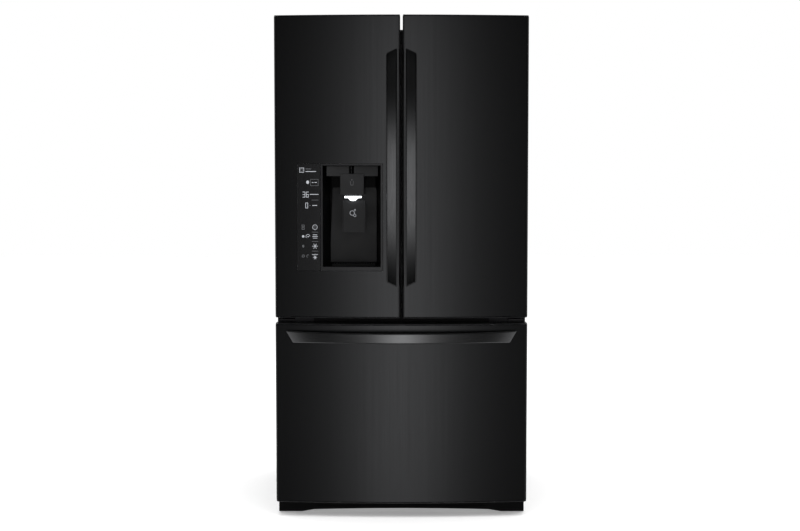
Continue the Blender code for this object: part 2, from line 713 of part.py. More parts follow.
def make_middle_hinge(name, side):
    """A flange on the cabinet's face, an arm between door and drawer, and a pin up into the door."""
    low = DRAWER_TOP + 0.010
    axis = (side * HINGE_X, HINGE_Y, 0)
    outer = side * (HINGE_X + 0.016)
    arm, plate = side * (HINGE_X - 0.042), side * (HINGE_X - 0.110)
    bm = bmesh.new()
    add_box(bm, (arm, HINGE_Y - 0.012, low), (outer, CASE_Y - GAP - 0.001, low + 0.005))
    obj = make_piece(name, bm, "zinc")
    join_box(
        obj,
        (plate, CASE_Y - 0.0033, DRAWER_TOP - 0.002),
        (outer, CASE_Y - GAP, DRAWER_TOP + 0.0235),
    )
    bm = bmesh.new()
    add_cylinder(bm, HINGE_PIN, low + 0.002, DOOR_BOTTOM + 0.014, axis, (0, 0, 1), 16)
    combine(obj, bm, "UNION")


# ---- fresh food space


def make_shelf(name, x_low, x_high, low):
    bm = bmesh.new()
    add_box(
        bm, (x_low, CASE_Y + SHELF_FRONT, low), (x_high, CASE_Y + SHELF_BACK, low + SHELF_THICKNESS)
    )
    shelf = make_piece(name, bm, "glass")
    soften(shelf, 0.003)


def make_fresh_food_interior():
    side = FRESH_HALF - SLIDE_CLEARANCE
    make_shelf("left_glass_shelf", -side, -0.004, FRESH_FLOOR + FRESH_HEIGHT * LEFT_SHELF_AT)
    make_shelf("right_glass_shelf", 0.004, side, FRESH_FLOOR + FRESH_HEIGHT * RIGHT_SHELF_AT)

    front, back = CASE_Y + CRISPER_FRONT - 0.010, CASE_Y + CRISPER_BACK + 0.020
    divider, plate = 0.004, 0.008
    bm = bmesh.new()
    add_box(bm, (-side, front, CRISPER_TOP), (side, back, CRISPER_TOP + SHELF_THICKNESS))
    frame = make_piece("crisper_frame", bm, "clear_plastic")
    join_box(
        frame, (-divider, front, CRISPER_FLOOR + 0.001), (divider, back, CRISPER_TOP + 0.002)
    )
    join_box(frame, (-side, front, CRISPER_FLOOR), (side, back, CRISPER_FLOOR + plate))

    low, high = CRISPER_FLOOR + plate + SLIDE_CLEARANCE, CRISPER_TOP - SLIDE_CLEARANCE
    outer, inner = side - SLIDE_CLEARANCE, divider + SLIDE_CLEARANCE
    make_inner_drawer("left_crisper", -outer, -inner, low, high)
    make_inner_drawer("right_crisper", inner, outer, low, high)
    make_inner_drawer(
        "pantry_drawer", -outer, outer, FRESH_FLOOR + SLIDE_CLEARANCE, CRISPER_FLOOR - SLIDE_CLEARANCE
    )


def make_inner_drawer(name, x_low, x_high, z_low, z_high):
    """A clear drawer with a grip along the top of its front."""
    front, back = CASE_Y + CRISPER_FRONT, CASE_Y + CRISPER_BACK
    middle, reach, grip = (x_low + x_high) / 2, 0.012, 0.012
    pivot = pivot_at(f"{name}_axis", (middle, front, z_low))
    bm = bmesh.new()
    add_tray(bm, (x_low, front, z_low), (x_high, back, z_high), BIN_WALL, (0, 0, 1))
    obj = make_piece(name, bm, "clear_plastic", pivot)
    half = (x_high - x_low) * 0.3
    join_box(
        obj,
        (middle - half, front - reach, z_high - grip - 0.010),
        (middle + half, front + BIN_WALL / 2, z_high - 0.010),
    )


# ---- doors


def door_span(side):
    return sorted((side * HALF, side * DOOR_GAP / 2))


def make_door(side_name, side, pivot):
    """Skin, foamed liner with its raised rim, gasket and handle of one door."""
    x_low, x_high = door_span(side)
    skin = make_skin(f"{side_name}_door_skin", x_low, x_high, DOOR_BOTTOM, DOOR_TOP, pivot)
    liner = make_panel_core(
        f"{side_name}_door_liner", x_low, x_high, DOOR_BOTTOM, DOOR_TOP, pivot
    )
    join_box(
        liner,
        (side * DYKE_OUTER, REAR_Y - DOOR_EDGE / 2, DYKE_LOW),
        (side * DYKE_INNER, DYKE_BACK_Y, DYKE_HIGH),
    )
    for obj in (skin, liner):
        cut_box(
            obj,
            (side * (HALF + 0.01), HINGE_Y - HINGE_NOTCH_AHEAD, NOTCH_FLOOR),
            (side * (HINGE_X - HINGE_NOTCH_IN), REAR_Y + 0.01, DOOR_TOP + 0.01),
        )
    for low, high in ((NOTCH_FLOOR - 0.020, NOTCH_FLOOR + 0.010), (DOOR_BOTTOM - 0.01, DOOR_BOTTOM + 0.018)):
        bm = bmesh.new()
        axis = (side * HINGE_X, HINGE_Y, 0)
        add_cylinder(bm, HINGE_PIN + PIN_CLEARANCE, low, high, axis, (0, 0, 1), 16)
        combine(liner, bm)
    gasket = sorted((side * HINGE_X, side * (DOOR_GAP / 2 + GASKET_INNER_INSET)))
    make_gasket(
        f"{side_name}_door_gasket",
        *gasket,
        FRESH_FLOOR - GASKET_LOWER_MARGIN - GASKET_WIDTH,
        FRESH_CEILING + GASKET_MARGIN + GASKET_WIDTH,
        pivot,
    )
    make_door_handle(f"{side_name}_door_handle", side, pivot)
    return skin, liner


def make_bin(name, side, low, high, reach, pivot):
    """A door bin between the two uprights of the raised rim."""
    outer = DYKE_OUTER - DYKE_WALL - BIN_CLEARANCE
    inner = DYKE_INNER + DYKE_WALL + BIN_CLEARANCE
    x_low, x_high = sorted((side * outer, side * inner))
    bm = bmesh.new()
    add_tray(
        bm, (x_low, REAR_Y + 0.002, low), (x_high, CASE_Y + reach, high), BIN_WALL, (0, 0, 1)
    )
    make_piece(name, bm, "clear_plastic", pivot)


def cut_rim(liner, side, low, high):
    """Hollows the raised rim between its uprights, down to the door's back plane."""
    cut_box(
        liner,
        (side * (DYKE_OUTER - DYKE_WALL), REAR_Y, low),
        (side * (DYKE_INNER + DYKE_WALL), CASE_Y + 1, high),
    )


def make_right_door():
    pivot = pivot_at("right_door_axis", (HINGE_X, HINGE_Y, DOOR_BOTTOM))
    liner = make_door("right", 1, pivot)[1]
    cut_rim(liner, 1, DYKE_LOW + DYKE_WALL, DYKE_HIGH - DYKE_WALL)
    for name, at, height in (
        ("right_upper_bin", UPPER_BIN_AT, 0.100), ("right_lower_bin", LOWER_BIN_AT, 0.110)
    ):
        low = FRESH_FLOOR + FRESH_HEIGHT * at
        make_bin(name, 1, low, low + height, 0.115, pivot)


def make_left_door():
    pivot = pivot_at("left_door_axis", (-HINGE_X, HINGE_Y, DOOR_BOTTOM))
    skin, liner = make_door("left", -1, pivot)
    join_box(
        liner,
        (-DYKE_OUTER, REAR_Y - DOOR_EDGE / 2, HUMP_LOW),
        (-DYKE_INNER, CASE_Y + HUMP_REACH, ICE_LOW + DYKE_WALL),
    )
    join_box(
        liner,
        (-DYKE_OUTER, REAR_Y - DOOR_EDGE / 2, ICE_LOW),
        (-DYKE_INNER, CASE_Y + ICE_REACH, DYKE_HIGH),
    )
    cut_rim(liner, -1, DYKE_LOW + DYKE_WALL, HUMP_LOW)
    cut_box(
        liner,
        (-DYKE_OUTER + ICE_WALL, REAR_Y - 0.005, ICE_LOW + ICE_WALL),
        (-DYKE_INNER - ICE_WALL, CASE_Y + 1, DYKE_HIGH - ICE_WALL),
    )
    make_bin("left_door_bin", -1, DYKE_LOW + DYKE_WALL + GAP, HUMP_LOW - 0.006, 0.095, pivot)
    make_dispenser(skin, liner, pivot)
    make_ice_cover(pivot)
    make_flap(liner, pivot)


def make_ice_cover(door):
    """The ice compartment's cover, hinged on its outer upright edge."""
    front = CASE_Y + ICE_REACH + GAP
    pivot = pivot_at("ice_cover_axis", (-DYKE_OUTER, front + ICE_COVER, ICE_LOW))
    pivot.parent = door
    pivot.matrix_parent_inverse = Matrix.Translation(-door.location)
    bm = bmesh.new()
    add_box(bm, (-DYKE_OUTER, front, ICE_LOW), (-DYKE_INNER, front + ICE_COVER, DYKE_HIGH))
    make_piece("ice_compartment_cover", bm, "white_plastic", pivot)


def make_flap(liner, door):
    """The flap that closes the gap between the doors, folded back beside the left door's rim."""
    low, high = FRESH_FLOOR + FLAP_MARGIN, FRESH_CEILING - FLAP_MARGIN
    half, lug = FLAP_THICKNESS / 2, 0.010
    axis = (-FLAP_AXIS_IN, FLAP_Y, low)
    pivot = pivot_at("mullion_flap_axis", axis)
    pivot.parent = door
    pivot.matrix_parent_inverse = Matrix.Translation(-door.location)
    bm = bmesh.new()
    add_box(
        bm,
        (-FLAP_AXIS_IN - half, FLAP_Y - half, low),
        (-FLAP_AXIS_IN + half, FLAP_Y - half + FLAP_WIDTH, high),
    )
    flap = make_piece("mullion_flap", bm, "black_plastic", pivot)
    bm = bmesh.new()
    add_cylinder(bm, FLAP_PIN, -lug * 0.7, high - low + lug * 0.7, axis, (0, 0, 1), 10)
    combine(flap, bm, "UNION")
    for start, end in ((low - 0.0005 - lug, low - 0.0005), (high + 0.0005, high + 0.0005 + lug)):
        join_box(
            liner,
            (-FLAP_AXIS_IN - half, REAR_Y - 0.005, start),
            (-FLAP_AXIS_IN + half, FLAP_Y + half, end),
        )
    bm = bmesh.new()
    add_cylinder(bm, FLAP_PIN + PIN_CLEARANCE, -lug * 0.8, high - low + lug * 0.8, axis, (0, 0, 1), 10)
    combine(liner, bm)


# ---- dispenser


def make_dispenser(skin, liner, pivot):
    low, high = BEZEL_LOW, BEZEL_HIGH
    room, ahead = BEZEL_CLEARANCE, EDGE_Y - CROWN - 0.01
    cut_box(
        skin,
        (low[0] - room, ahead, low[1] - room),
        (high[0] + room, EDGE_Y + 0.010, high[1] + room),
    )
    cut_box(
        liner,
        (low[0] - room, ahead, low[1] - room),
        (high[0] + room, EDGE_Y + 0.004, high[1] + room),
    )
    out = RECESS_WALL + GAP
    cut_box(
        liner,
        (RECESS_LOW[0] - out, ahead, RECESS_LOW[1] - out),
        (RECESS_HIGH[0] + out, RECESS_BACK_Y + out, RECESS_HIGH[1] + out),
    )
    make_bezel(pivot)
    make_recess(pivot)
    make_chute(pivot)
    make_paddle(pivot)


def make_bezel(pivot):
    """The glossy frame and control panel, flush with the crowned door."""
    x_low, x_high = BEZEL_LOW[0], BEZEL_HIGH[0]
    stops = [x_low + (x_high - x_low) * step / CROWN_STEPS for step in range(CROWN_STEPS + 1)]
    outline = [(x, front_y(x) - BEZEL_PROUD) for x in stops]
    outline += [(x, front_y(x) + BEZEL_THICKNESS) for x in reversed(stops)]
    bm = bmesh.new()
    add_prism(bm, outline, 2, BEZEL_LOW[1], BEZEL_HIGH[1])
    obj = make_piece("dispenser_bezel", bm, "black_gloss", pivot)
    cut_box(
        obj,
        (RECESS_LOW[0], EDGE_Y - 0.1, RECESS_LOW[1]),
        (RECESS_HIGH[0], EDGE_Y + 0.1, RECESS_HIGH[1]),
    )


def make_recess(pivot):
    """A moulded tray whose side walls lean in towards its back."""
    rings = []
    left, right = RECESS_LOW[0], RECESS_HIGH[0]
    behind = BEZEL_THICKNESS + GAP
    for wall, at_back in ((RECESS_WALL, 0), (RECESS_WALL, 1), (0, 1), (0, 0)):
        lean = [taper * at_back for taper in RECESS_TAPER]
        x_low, x_high = left - wall + lean[0], right + wall - lean[1]
        z_low, z_high = RECESS_LOW[1] - wall, RECESS_HIGH[1] + wall
        back = RECESS_BACK_Y + wall
        ys = [back if at_back else front_y(x) + behind for x in (x_low, x_high)]
        rings.append(
            [(x_low, ys[0], z_low), (x_high, ys[1], z_low), (x_high, ys[1], z_high), (x_low, ys[0], z_high)]
        )
    bm = bmesh.new()
    made = [[bm.verts.new(point) for point in ring] for ring in rings]
    for ring, after in zip(made, made[1:] + made[:1]):
        if ring is made[1]:
            continue
        for k in range(4):
            bm.faces.new((ring[k], ring[(k + 1) % 4], after[(k + 1) % 4], after[k]))
    bm.faces.new(made[1])
    bm.faces.new(made[2])
    bmesh.ops.recalc_face_normals(bm, faces=bm.faces)
    make_piece("dispenser_recess", bm, "black_plastic", pivot)


def recess_x(share):
    """A place across the recess, from its left edge at 0 to its right edge at 1."""
    return RECESS_LOW[0] + share * (RECESS_HIGH[0] - RECESS_LOW[0])


def make_chute(pivot):
    """The block above the paddle that ice and water come out of, with its lamp."""
    front = front_y((RECESS_LOW[0] + RECESS_HIGH[0]) / 2)
    back = RECESS_BACK_Y - GAP
    top = RECESS_HIGH[1] - GAP
    bm = bmesh.new()
    low = RECESS_HIGH[1] - 0.105
    add_box(bm, (recess_x(0.302), front + 0.020, low), (recess_x(0.707), back, top))
    obj = make_piece("dispenser_chute", bm, "grey_plastic", pivot)
    for start, end in ((0.065, 0.460), (0.538, 0.955)):
        join_box(
            obj,
            (recess_x(start), front + 0.008, RECESS_HIGH[1] - 0.039),
            (recess_x(end), front + 0.0215, top),
        )
    bm = bmesh.new()
    add_box(
        bm, (recess_x(0.361), front + 0.024, low - 0.011), (recess_x(0.680), front + 0.042, low - GAP)
    )
    lamp = make_piece("dispenser_lamp", bm, "lamp", pivot)
    soften(lamp, 0.002)

    low = RECESS_LOW[1] + GAP
    bm = bmesh.new()
    add_tray(
        bm, (recess_x(0.16), front + 0.010, low), (recess_x(0.91), back, low + 0.010), 0.002, (0, 0, 1)
    )
    make_piece("drip_tray", bm, "black_plastic", pivot)


def make_paddle(door):
    """The lever that a glass pushes back, hung from its top edge."""
    front = front_y((RECESS_LOW[0] + RECESS_HIGH[0]) / 2)
    axis = Vector((recess_x(0.5346), front + 0.050, RECESS_HIGH[1] - 0.128))
    pivot = pivot_at("paddle_axis", axis)
    pivot.parent = door
    pivot.matrix_parent_inverse = Matrix.Translation(-door.location)
    outline = [(axis.y - 0.004, axis.z + 0.004), (axis.y + 0.004, axis.z + 0.004)]
    bend, end = axis.z - 0.056, axis.z - 0.1115
    outline += [(axis.y + 0.002, bend), (axis.y - 0.006, end), (axis.y - 0.012, end)]
    outline += [(axis.y - 0.004, bend)]
    bm = bmesh.new()
    add_prism(bm, outline, 0, recess_x(0.3333), recess_x(0.7354))
    paddle = make_piece("dispenser_paddle", bm, "grey_plastic", pivot)
    soften(paddle, 0.001, 1)


# ---- freezer drawer


def make_freezer_drawer():
    pivot = pivot_at("freezer_drawer_axis", (0, REAR_Y, DRAWER_BOTTOM))
    make_skin("drawer_skin", -HALF, HALF, DRAWER_BOTTOM, DRAWER_TOP, pivot)
    liner = make_panel_core("drawer_liner", -HALF, HALF, DRAWER_BOTTOM, DRAWER_TOP, pivot)
    half = FREEZER_HALF - 0.011
    low, high = FREEZER_FLOOR + DYKE_CLEARANCE, FREEZER_CEILING - DYKE_CLEARANCE
    back = CASE_Y + 0.020
    join_box(liner, (-half, REAR_Y - DOOR_EDGE / 2, low), (half, back, high))
    cut_box(
        liner,
        (DYKE_WALL - half, REAR_Y, low + DYKE_WALL),
        (half - DYKE_WALL, back + 1, high - DYKE_WALL),
    )
    make_gasket(
        "drawer_gasket",
        -HINGE_X,
        HINGE_X,
        FREEZER_FLOOR - GASKET_MARGIN - GASKET_WIDTH - 0.004,
        FREEZER_CEILING + GASKET_LOWER_MARGIN + GASKET_WIDTH,
        pivot,
    )
    make_drawer_handle(pivot)
    make_basket(pivot)
    for side, name in ((-1, "left"), (1, "right")):
        make_rails(name, side)


def rail_spans():
    """Where each member of a slide lies, from the freezer wall inwards."""
    outer = FREEZER_HALF - GAP
    middle = outer - RAIL_THICKNESS - GAP
    runner = middle - MIDDLE_RAIL_THICKNESS - GAP
    return outer, middle, runner


def make_rails(name, side):
    outer, middle, _ = rail_spans()
    front, back, inset = CASE_Y + RAIL_FRONT, CASE_Y + RAIL_BACK, 0.004
    high = RAIL_LOW + RAIL_HEIGHT
    bm = bmesh.new()
    add_box(bm, (side * (outer - RAIL_THICKNESS), front, RAIL_LOW), (side * outer, back, high))
    make_piece(f"{name}_outer_rail", bm, "zinc")
    pivot = pivot_at(f"{name}_middle_rail_axis", (side * middle, front, RAIL_LOW))
    bm = bmesh.new()
    add_box(
        bm,
        (side * (middle - MIDDLE_RAIL_THICKNESS), front, RAIL_LOW + inset),
        (side * middle, back - 0.010, high - inset),
    )
    make_piece(f"{name}_middle_rail", bm, "zinc", pivot)


def make_basket(drawer):
    """The deep basket with its two runners, and the tray that slides on its rim."""
    front, back = CASE_Y + 0.0215, CASE_Y + BASKET_BACK
    rim = RAIL_LOW + RAIL_HEIGHT
    runner = rail_spans()[2]
    bm = bmesh.new()
    add_tray(
        bm, (-BASKET_HALF, front, BASKET_LOW), (BASKET_HALF, back, rim), LINER, (0, 0, 1)
    )
    basket = make_piece("freezer_basket", bm, "white_plastic", drawer)
    for side in (-1, 1):
        join_box(
            basket,
            (side * (BASKET_HALF - LINER / 2), front, RAIL_LOW),
            (side * runner, back, rim),
        )

    half, hang, lip = BASKET_HALF - LINER - 0.006, 0.060, 0.004
    near, far = CASE_Y + 0.040, CASE_Y + 0.240
    pivot = pivot_at("freezer_tray_axis", (0, near, rim))
    pivot.parent = drawer
    pivot.matrix_parent_inverse = Matrix.Translation(-drawer.location)
    bm = bmesh.new()
    add_tray(bm, (-half, near, rim - hang), (half, far, rim + 0.030), BIN_WALL, (0, 0, 1))
    tray = make_piece("freezer_tray", bm, "clear_plastic", pivot)
    for side in (-1, 1):
        join_box(
            tray,
            (side * (half - BIN_WALL / 2), near, rim + GAP),
            (side * (BASKET_HALF + 0.008), far, rim + GAP + lip),
        )


def make_evaporator_cover():
    """The panel at the back of the freezer, with air slots near its top."""
    front, half = CASE_Y + 0.497, FREEZER_HALF - 0.006
    bm = bmesh.new()
    add_box(
        bm, (-half, front, FREEZER_FLOOR + 0.005), (half, front + 0.018, FREEZER_CEILING - 0.006)
    )
    cover = make_piece("evaporator_cover", bm, "white_plastic")
    bm = bmesh.new()
    slots, pitch, length = 5, 0.120, 0.080
    low, high = FREEZER_CEILING - 0.061, FREEZER_CEILING - 0.051
    for slot in range(slots):
        x = (slot - (slots - 1) / 2) * pitch
        add_box(bm, (x - length / 2, front - 0.01, low), (x + length / 2, front + 0.03, high))
    combine(cover, bm)


def main():
    clear_scene()
    make_cabinet()
    make_rear()
    make_base()
    make_grille()
    make_machine_room()
    for side, name in ((-1, "left"), (1, "right")):
        make_top_hinge(f"{name}_top_hinge", side)
        make_middle_hinge(f"{name}_middle_hinge", side)
    make_fresh_food_interior()
    make_left_door()
    make_right_door()
    make_freezer_drawer()
    make_evaporator_cover()


main()
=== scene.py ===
import math

import bmesh
import bpy
from mathutils import Matrix, Vector


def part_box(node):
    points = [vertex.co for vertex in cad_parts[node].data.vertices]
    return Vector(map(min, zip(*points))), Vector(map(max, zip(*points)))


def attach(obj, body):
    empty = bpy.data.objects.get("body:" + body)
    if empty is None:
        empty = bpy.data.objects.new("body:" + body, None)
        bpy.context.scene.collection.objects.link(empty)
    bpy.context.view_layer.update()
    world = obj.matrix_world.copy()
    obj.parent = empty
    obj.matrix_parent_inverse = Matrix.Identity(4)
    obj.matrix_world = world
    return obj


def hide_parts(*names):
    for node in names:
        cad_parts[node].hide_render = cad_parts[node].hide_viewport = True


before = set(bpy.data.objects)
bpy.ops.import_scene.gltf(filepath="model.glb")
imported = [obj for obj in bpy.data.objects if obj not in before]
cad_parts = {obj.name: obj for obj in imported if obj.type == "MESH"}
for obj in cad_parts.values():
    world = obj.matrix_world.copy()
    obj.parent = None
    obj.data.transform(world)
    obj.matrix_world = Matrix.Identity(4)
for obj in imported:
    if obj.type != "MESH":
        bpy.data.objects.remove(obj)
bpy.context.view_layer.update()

print("frame loaded")

# ---- small tools for meshes


def addBox(bm, low, high):
    low, high = Vector(map(min, low, high)), Vector(map(max, low, high))
    place = Matrix.Translation((low + high) / 2) @ Matrix.Diagonal((*(high - low), 1))
    return bmesh.ops.create_cube(bm, size=1, matrix=place)["verts"]


def addLoft(bm, rings, closed=True, capped=False, skip=None):
    # each ring is a row of points, and faces join one row to the next
    rows = [[bm.verts.new(point) for point in ring] for ring in rings]
    count = len(rings[0])
    for low, high in zip(rows, rows[1:]):
        for k in range(count if closed else count - 1):
            j = (k + 1) % count
            corners = (low[k], low[j], high[j], high[k])
            middle = (low[k].co + low[j].co + high[j].co + high[k].co) / 4
            if not (skip and skip(middle)):
                bm.faces.new(corners)
    if capped:
        bm.faces.new(rows[0][::-1])
        bm.faces.new(rows[-1])
    loose = [vert for row in rows for vert in row if not vert.link_faces]
    bmesh.ops.delete(bm, geom=loose, context="VERTS")


def addPrism(bm, outline, axis, low, high):
    first, second = [k for k in range(3) if k != axis]
    rings = []
    for level in (low, high):
        ring = []
        for u, v in outline:
            point = [level, level, level]
            point[first], point[second] = u, v
            ring.append(tuple(point))
        rings.append(ring)
    before = set(bm.faces)
    addLoft(bm, rings, capped=True)
    bmesh.ops.recalc_face_normals(bm, faces=[f for f in bm.faces if f not in before])


def addTurned(bm, profile, centre, axis, steps=40):
    # a profile of (radius, height), from the axis back to the axis
    centre = Vector(centre)
    turn = Vector(axis).to_track_quat("Z", "Y").to_matrix()
    before = set(bm.faces)
    rings = []
    for radius, height in profile:
        ring = []
        for step in range(steps):
            angle = math.tau * step / steps
            flat = Vector((radius * math.cos(angle), radius * math.sin(angle), height))
            ring.append(centre + turn @ flat)
        rings.append(ring)
    addLoft(bm, rings)
    bmesh.ops.remove_doubles(bm, verts=bm.verts, dist=1e-6)
    bmesh.ops.recalc_face_normals(bm, faces=[f for f in bm.faces if f not in before])


def roundedRect(xLow, xHigh, zLow, zHigh, radius, steps=5):
    # corner points of a rectangle with rounded corners, anticlockwise
    points = []
    corners = ((xHigh, zLow, 270), (xHigh, zHigh, 0), (xLow, zHigh, 90), (xLow, zLow, 180))
    for x, z, start in corners:
        inX = x - radius if x == xHigh else x + radius
        inZ = z - radius if z == zHigh else z + radius
        for step in range(steps + 1):
            angle = math.radians(start + 90 * step / steps)
            points.append((inX + radius * math.cos(angle), inZ + radius * math.sin(angle)))
    return points


def addRoundPlate(bm, x, z, radius, y, axis=1):
    addPrism(bm, roundedRect(x[0], x[1], z[0], z[1], radius), axis, y[0], y[1])


def spread(low, high, count):
    return [low + (high - low) * k / count for k in range(count + 1)]


# ---- small tools for shader and geometry nodes

colourKind, numberKind, vectorKind = "NodeSocketColor", "NodeSocketFloat", "NodeSocketVector"
wholeKind, materialKind, shapeKind = "NodeSocketInt", "NodeSocketMaterial", "NodeSocketGeometry"


def join(tree, source, target):
    tree.links.new(source, target)


def addNode(tree, kind, inputs=(), **settings):
    # fills each given input with a value, or with a link from another node
    node = tree.nodes.new(kind)
    for label, value in settings.items():
        setattr(node, label, value)
    for label, value in dict(inputs).items():
        if isinstance(value, bpy.types.NodeSocket):
            join(tree, value, node.inputs[label])
        else:
            node.inputs[label].default_value = value
    return node


def mathNode(tree, operation, *values):
    return addNode(tree, "ShaderNodeMath", enumerate(values), operation=operation).outputs[0]


def mapRange(tree, value, fromLow, fromHigh, toLow=0.0, toHigh=1.0, kind="LINEAR"):
    inputs = {"Value": value, "From Min": fromLow, "From Max": fromHigh, "To Min": toLow, "To Max": toHigh}
    return addNode(tree, "ShaderNodeMapRange", inputs, interpolation_type=kind).outputs["Result"]


def noiseNode(tree, vector, scale, detail, roughness):
    inputs = {"Vector": vector, "Scale": scale, "Detail": detail, "Roughness": roughness}
    return addNode(tree, "ShaderNodeTexNoise", inputs).outputs[0]


def newTree(name, kind, inputs, outputs):
    # a node group with its sockets, and the ends that its nodes join
    tree = bpy.data.node_groups.new(name, kind)
    for label, socketKind, value in inputs:
        socket = tree.interface.new_socket(label, in_out="INPUT", socket_type=socketKind)
        if value is not None:
            socket.default_value = value
    for label, socketKind in outputs:
        tree.interface.new_socket(label, in_out="OUTPUT", socket_type=socketKind)
    return tree, tree.nodes.new("NodeGroupInput").outputs, tree.nodes.new("NodeGroupOutput").inputs


# ---- patterns: each gives a tone for the colour and a height for the relief


def newPattern(name, *inputs):
    inputs = [("Vector", vectorKind, None), *inputs]
    return newTree(name, "ShaderNodeTree", inputs, [("Tone", numberKind), ("Height", numberKind)])


def joinSlowTone(tree, given, result, finer):
    # slow changes of tone, this many times larger than the pattern
    scale = mathNode(tree, "DIVIDE", given["Scale"], finer)
    slow = noiseNode(tree, given["Vector"], scale, 3.0, 0.5)
    join(tree, mapRange(tree, slow, 0.3, 0.7), result["Tone"])


def buildBrushedGrain():
    # lines along the direction whose stretch is small
    tree, given, result = newPattern(
        "brushedGrain", ("Stretch", vectorKind, (700, 700, 5)), ("Streak", numberKind, 0.3)
    )
    sizes = {0: given["Vector"], 1: given["Stretch"]}
    scaled = addNode(tree, "ShaderNodeVectorMath", sizes, operation="MULTIPLY").outputs[0]
    fine = noiseNode(tree, scaled, 2.4, 2.0, 0.6)
    streak = noiseNode(tree, scaled, given["Streak"], 3.0, 0.5)
    fineShare, streakShare = mathNode(tree, "MULTIPLY", fine, 0.45), mathNode(tree, "MULTIPLY", streak, 0.55)
    tone = mathNode(tree, "ADD", fineShare, streakShare)
    join(tree, mapRange(tree, tone, 0.33, 0.67), result["Tone"])
    join(tree, fine, result["Height"])
    return tree


def buildPaintPeel():
    # the low dimples of sprayed paint
    tree, given, result = newPattern("paintPeel", ("Scale", numberKind, 320.0))
    joinSlowTone(tree, given, result, 60.0)
    join(tree, noiseNode(tree, given["Vector"], given["Scale"], 1.5, 0.4), result["Height"])
    return tree


def buildMouldGrain():
    # the fine leather-like skin that a spark-eroded mould leaves
    tree, given, result = newPattern("mouldGrain", ("Scale", numberKind, 900.0))
    joinSlowTone(tree, given, result, 110.0)
    inputs = {"Vector": given["Vector"], "Scale": given["Scale"]}
    cells = addNode(tree, "ShaderNodeTexVoronoi", inputs, feature="SMOOTH_F1")
    join(tree, cells.outputs["Distance"], result["Height"])
    return tree


def buildZincSpangle():
    # the crystal flakes of hot-dipped sheet
    tree, given, result = newPattern("zincSpangle", ("Scale", numberKind, 90.0))
    inputs = {"Vector": given["Vector"], "Scale": given["Scale"]}
    cells = addNode(tree, "ShaderNodeTexVoronoi", inputs)
    flake = addNode(tree, "ShaderNodeSeparateColor", {0: cells.outputs["Color"]})
    fineScale = mathNode(tree, "MULTIPLY", given["Scale"], 9.0)
    join(tree, flake.outputs[0], result["Tone"])
    join(tree, noiseNode(tree, given["Vector"], fineScale, 2.0, 0.5), result["Height"])
    return tree


def buildDustFilm():
    # faint dust on faces that look up, and a slightly duller finish there
    tree, given, result = newTree(
        "dustFilm", "ShaderNodeTree",
        [
            ("Vector", vectorKind, None), ("Colour", colourKind, (0.5, 0.5, 0.5, 1.0)),
            ("Roughness", numberKind, 0.4), ("Amount", numberKind, 0.2),
        ],
        [("Colour", colourKind), ("Roughness", numberKind)],
    )
    dustColour, duller = (0.42, 0.40, 0.37, 1.0), 0.5
    normal = addNode(tree, "ShaderNodeNewGeometry").outputs["Normal"]
    parts = addNode(tree, "ShaderNodeSeparateXYZ", {0: normal})
    up = mapRange(tree, parts.outputs["Z"], 0.55, 1.0, kind="SMOOTHSTEP")
    patches = mapRange(tree, noiseNode(tree, given["Vector"], 14.0, 4.0, 0.6), 0.35, 0.7, 0.3, 1.0)
    mask = mathNode(tree, "MULTIPLY", mathNode(tree, "MULTIPLY", up, patches), given["Amount"])
    mixed = addNode(tree, "ShaderNodeMix", {0: mask, 6: given["Colour"], 7: dustColour}, data_type="RGBA")
    join(tree, mixed.outputs[2], result["Colour"])
    dulled = mathNode(tree, "ADD", given["Roughness"], mathNode(tree, "MULTIPLY", mask, duller))
    join(tree, dulled, result["Roughness"])
    return tree


def buildToneShift():
    # darker and lighter versions of one colour, with brighter worn edges
    tree, given, result = newTree(
        "toneShift", "ShaderNodeTree",
        [
            ("Colour", colourKind, (0.5, 0.5, 0.5, 1.0)), ("Tone", numberKind, 0.5),
            ("Amount", numberKind, 0.1), ("Edge", numberKind, 0.0),
        ],
        [("Colour", colourKind)],
    )
    darkest = mathNode(tree, "SUBTRACT", 1.0, given["Amount"])
    lightest = mathNode(tree, "ADD", 1.0, given["Amount"])
    gain = mapRange(tree, given["Tone"], 0.0, 1.0, darkest, lightest)
    pointiness = addNode(tree, "ShaderNodeNewGeometry").outputs["Pointiness"]
    edge = mapRange(tree, pointiness, 0.51, 0.60)
    lift = mathNode(tree, "ADD", gain, mathNode(tree, "MULTIPLY", edge, given["Edge"]))
    scaled = addNode(tree, "ShaderNodeVectorMath", {0: given["Colour"]}, operation="SCALE")
    join(tree, lift, scaled.inputs["Scale"])
    join(tree, scaled.outputs[0], result["Colour"])
    return tree


shaderGroups = {
    "grain": buildBrushedGrain(), "peel": buildPaintPeel(), "mould": buildMouldGrain(),
    "spangle": buildZincSpangle(), "dust": buildDustFilm(), "tone": buildToneShift(),
}

# ---- finishes


def finish(slot, colour, roughness, pattern, relief, tone, **more):
    # roughness with its spread, pattern with its scale or stretch, relief in metres, share of tone change
    return {
        "slot": slot, "colour": colour, "roughness": roughness, "pattern": pattern, "relief": relief,
        "tone": tone, **more,
    }


def gloss(level):
    return {"Specular IOR Level": level}


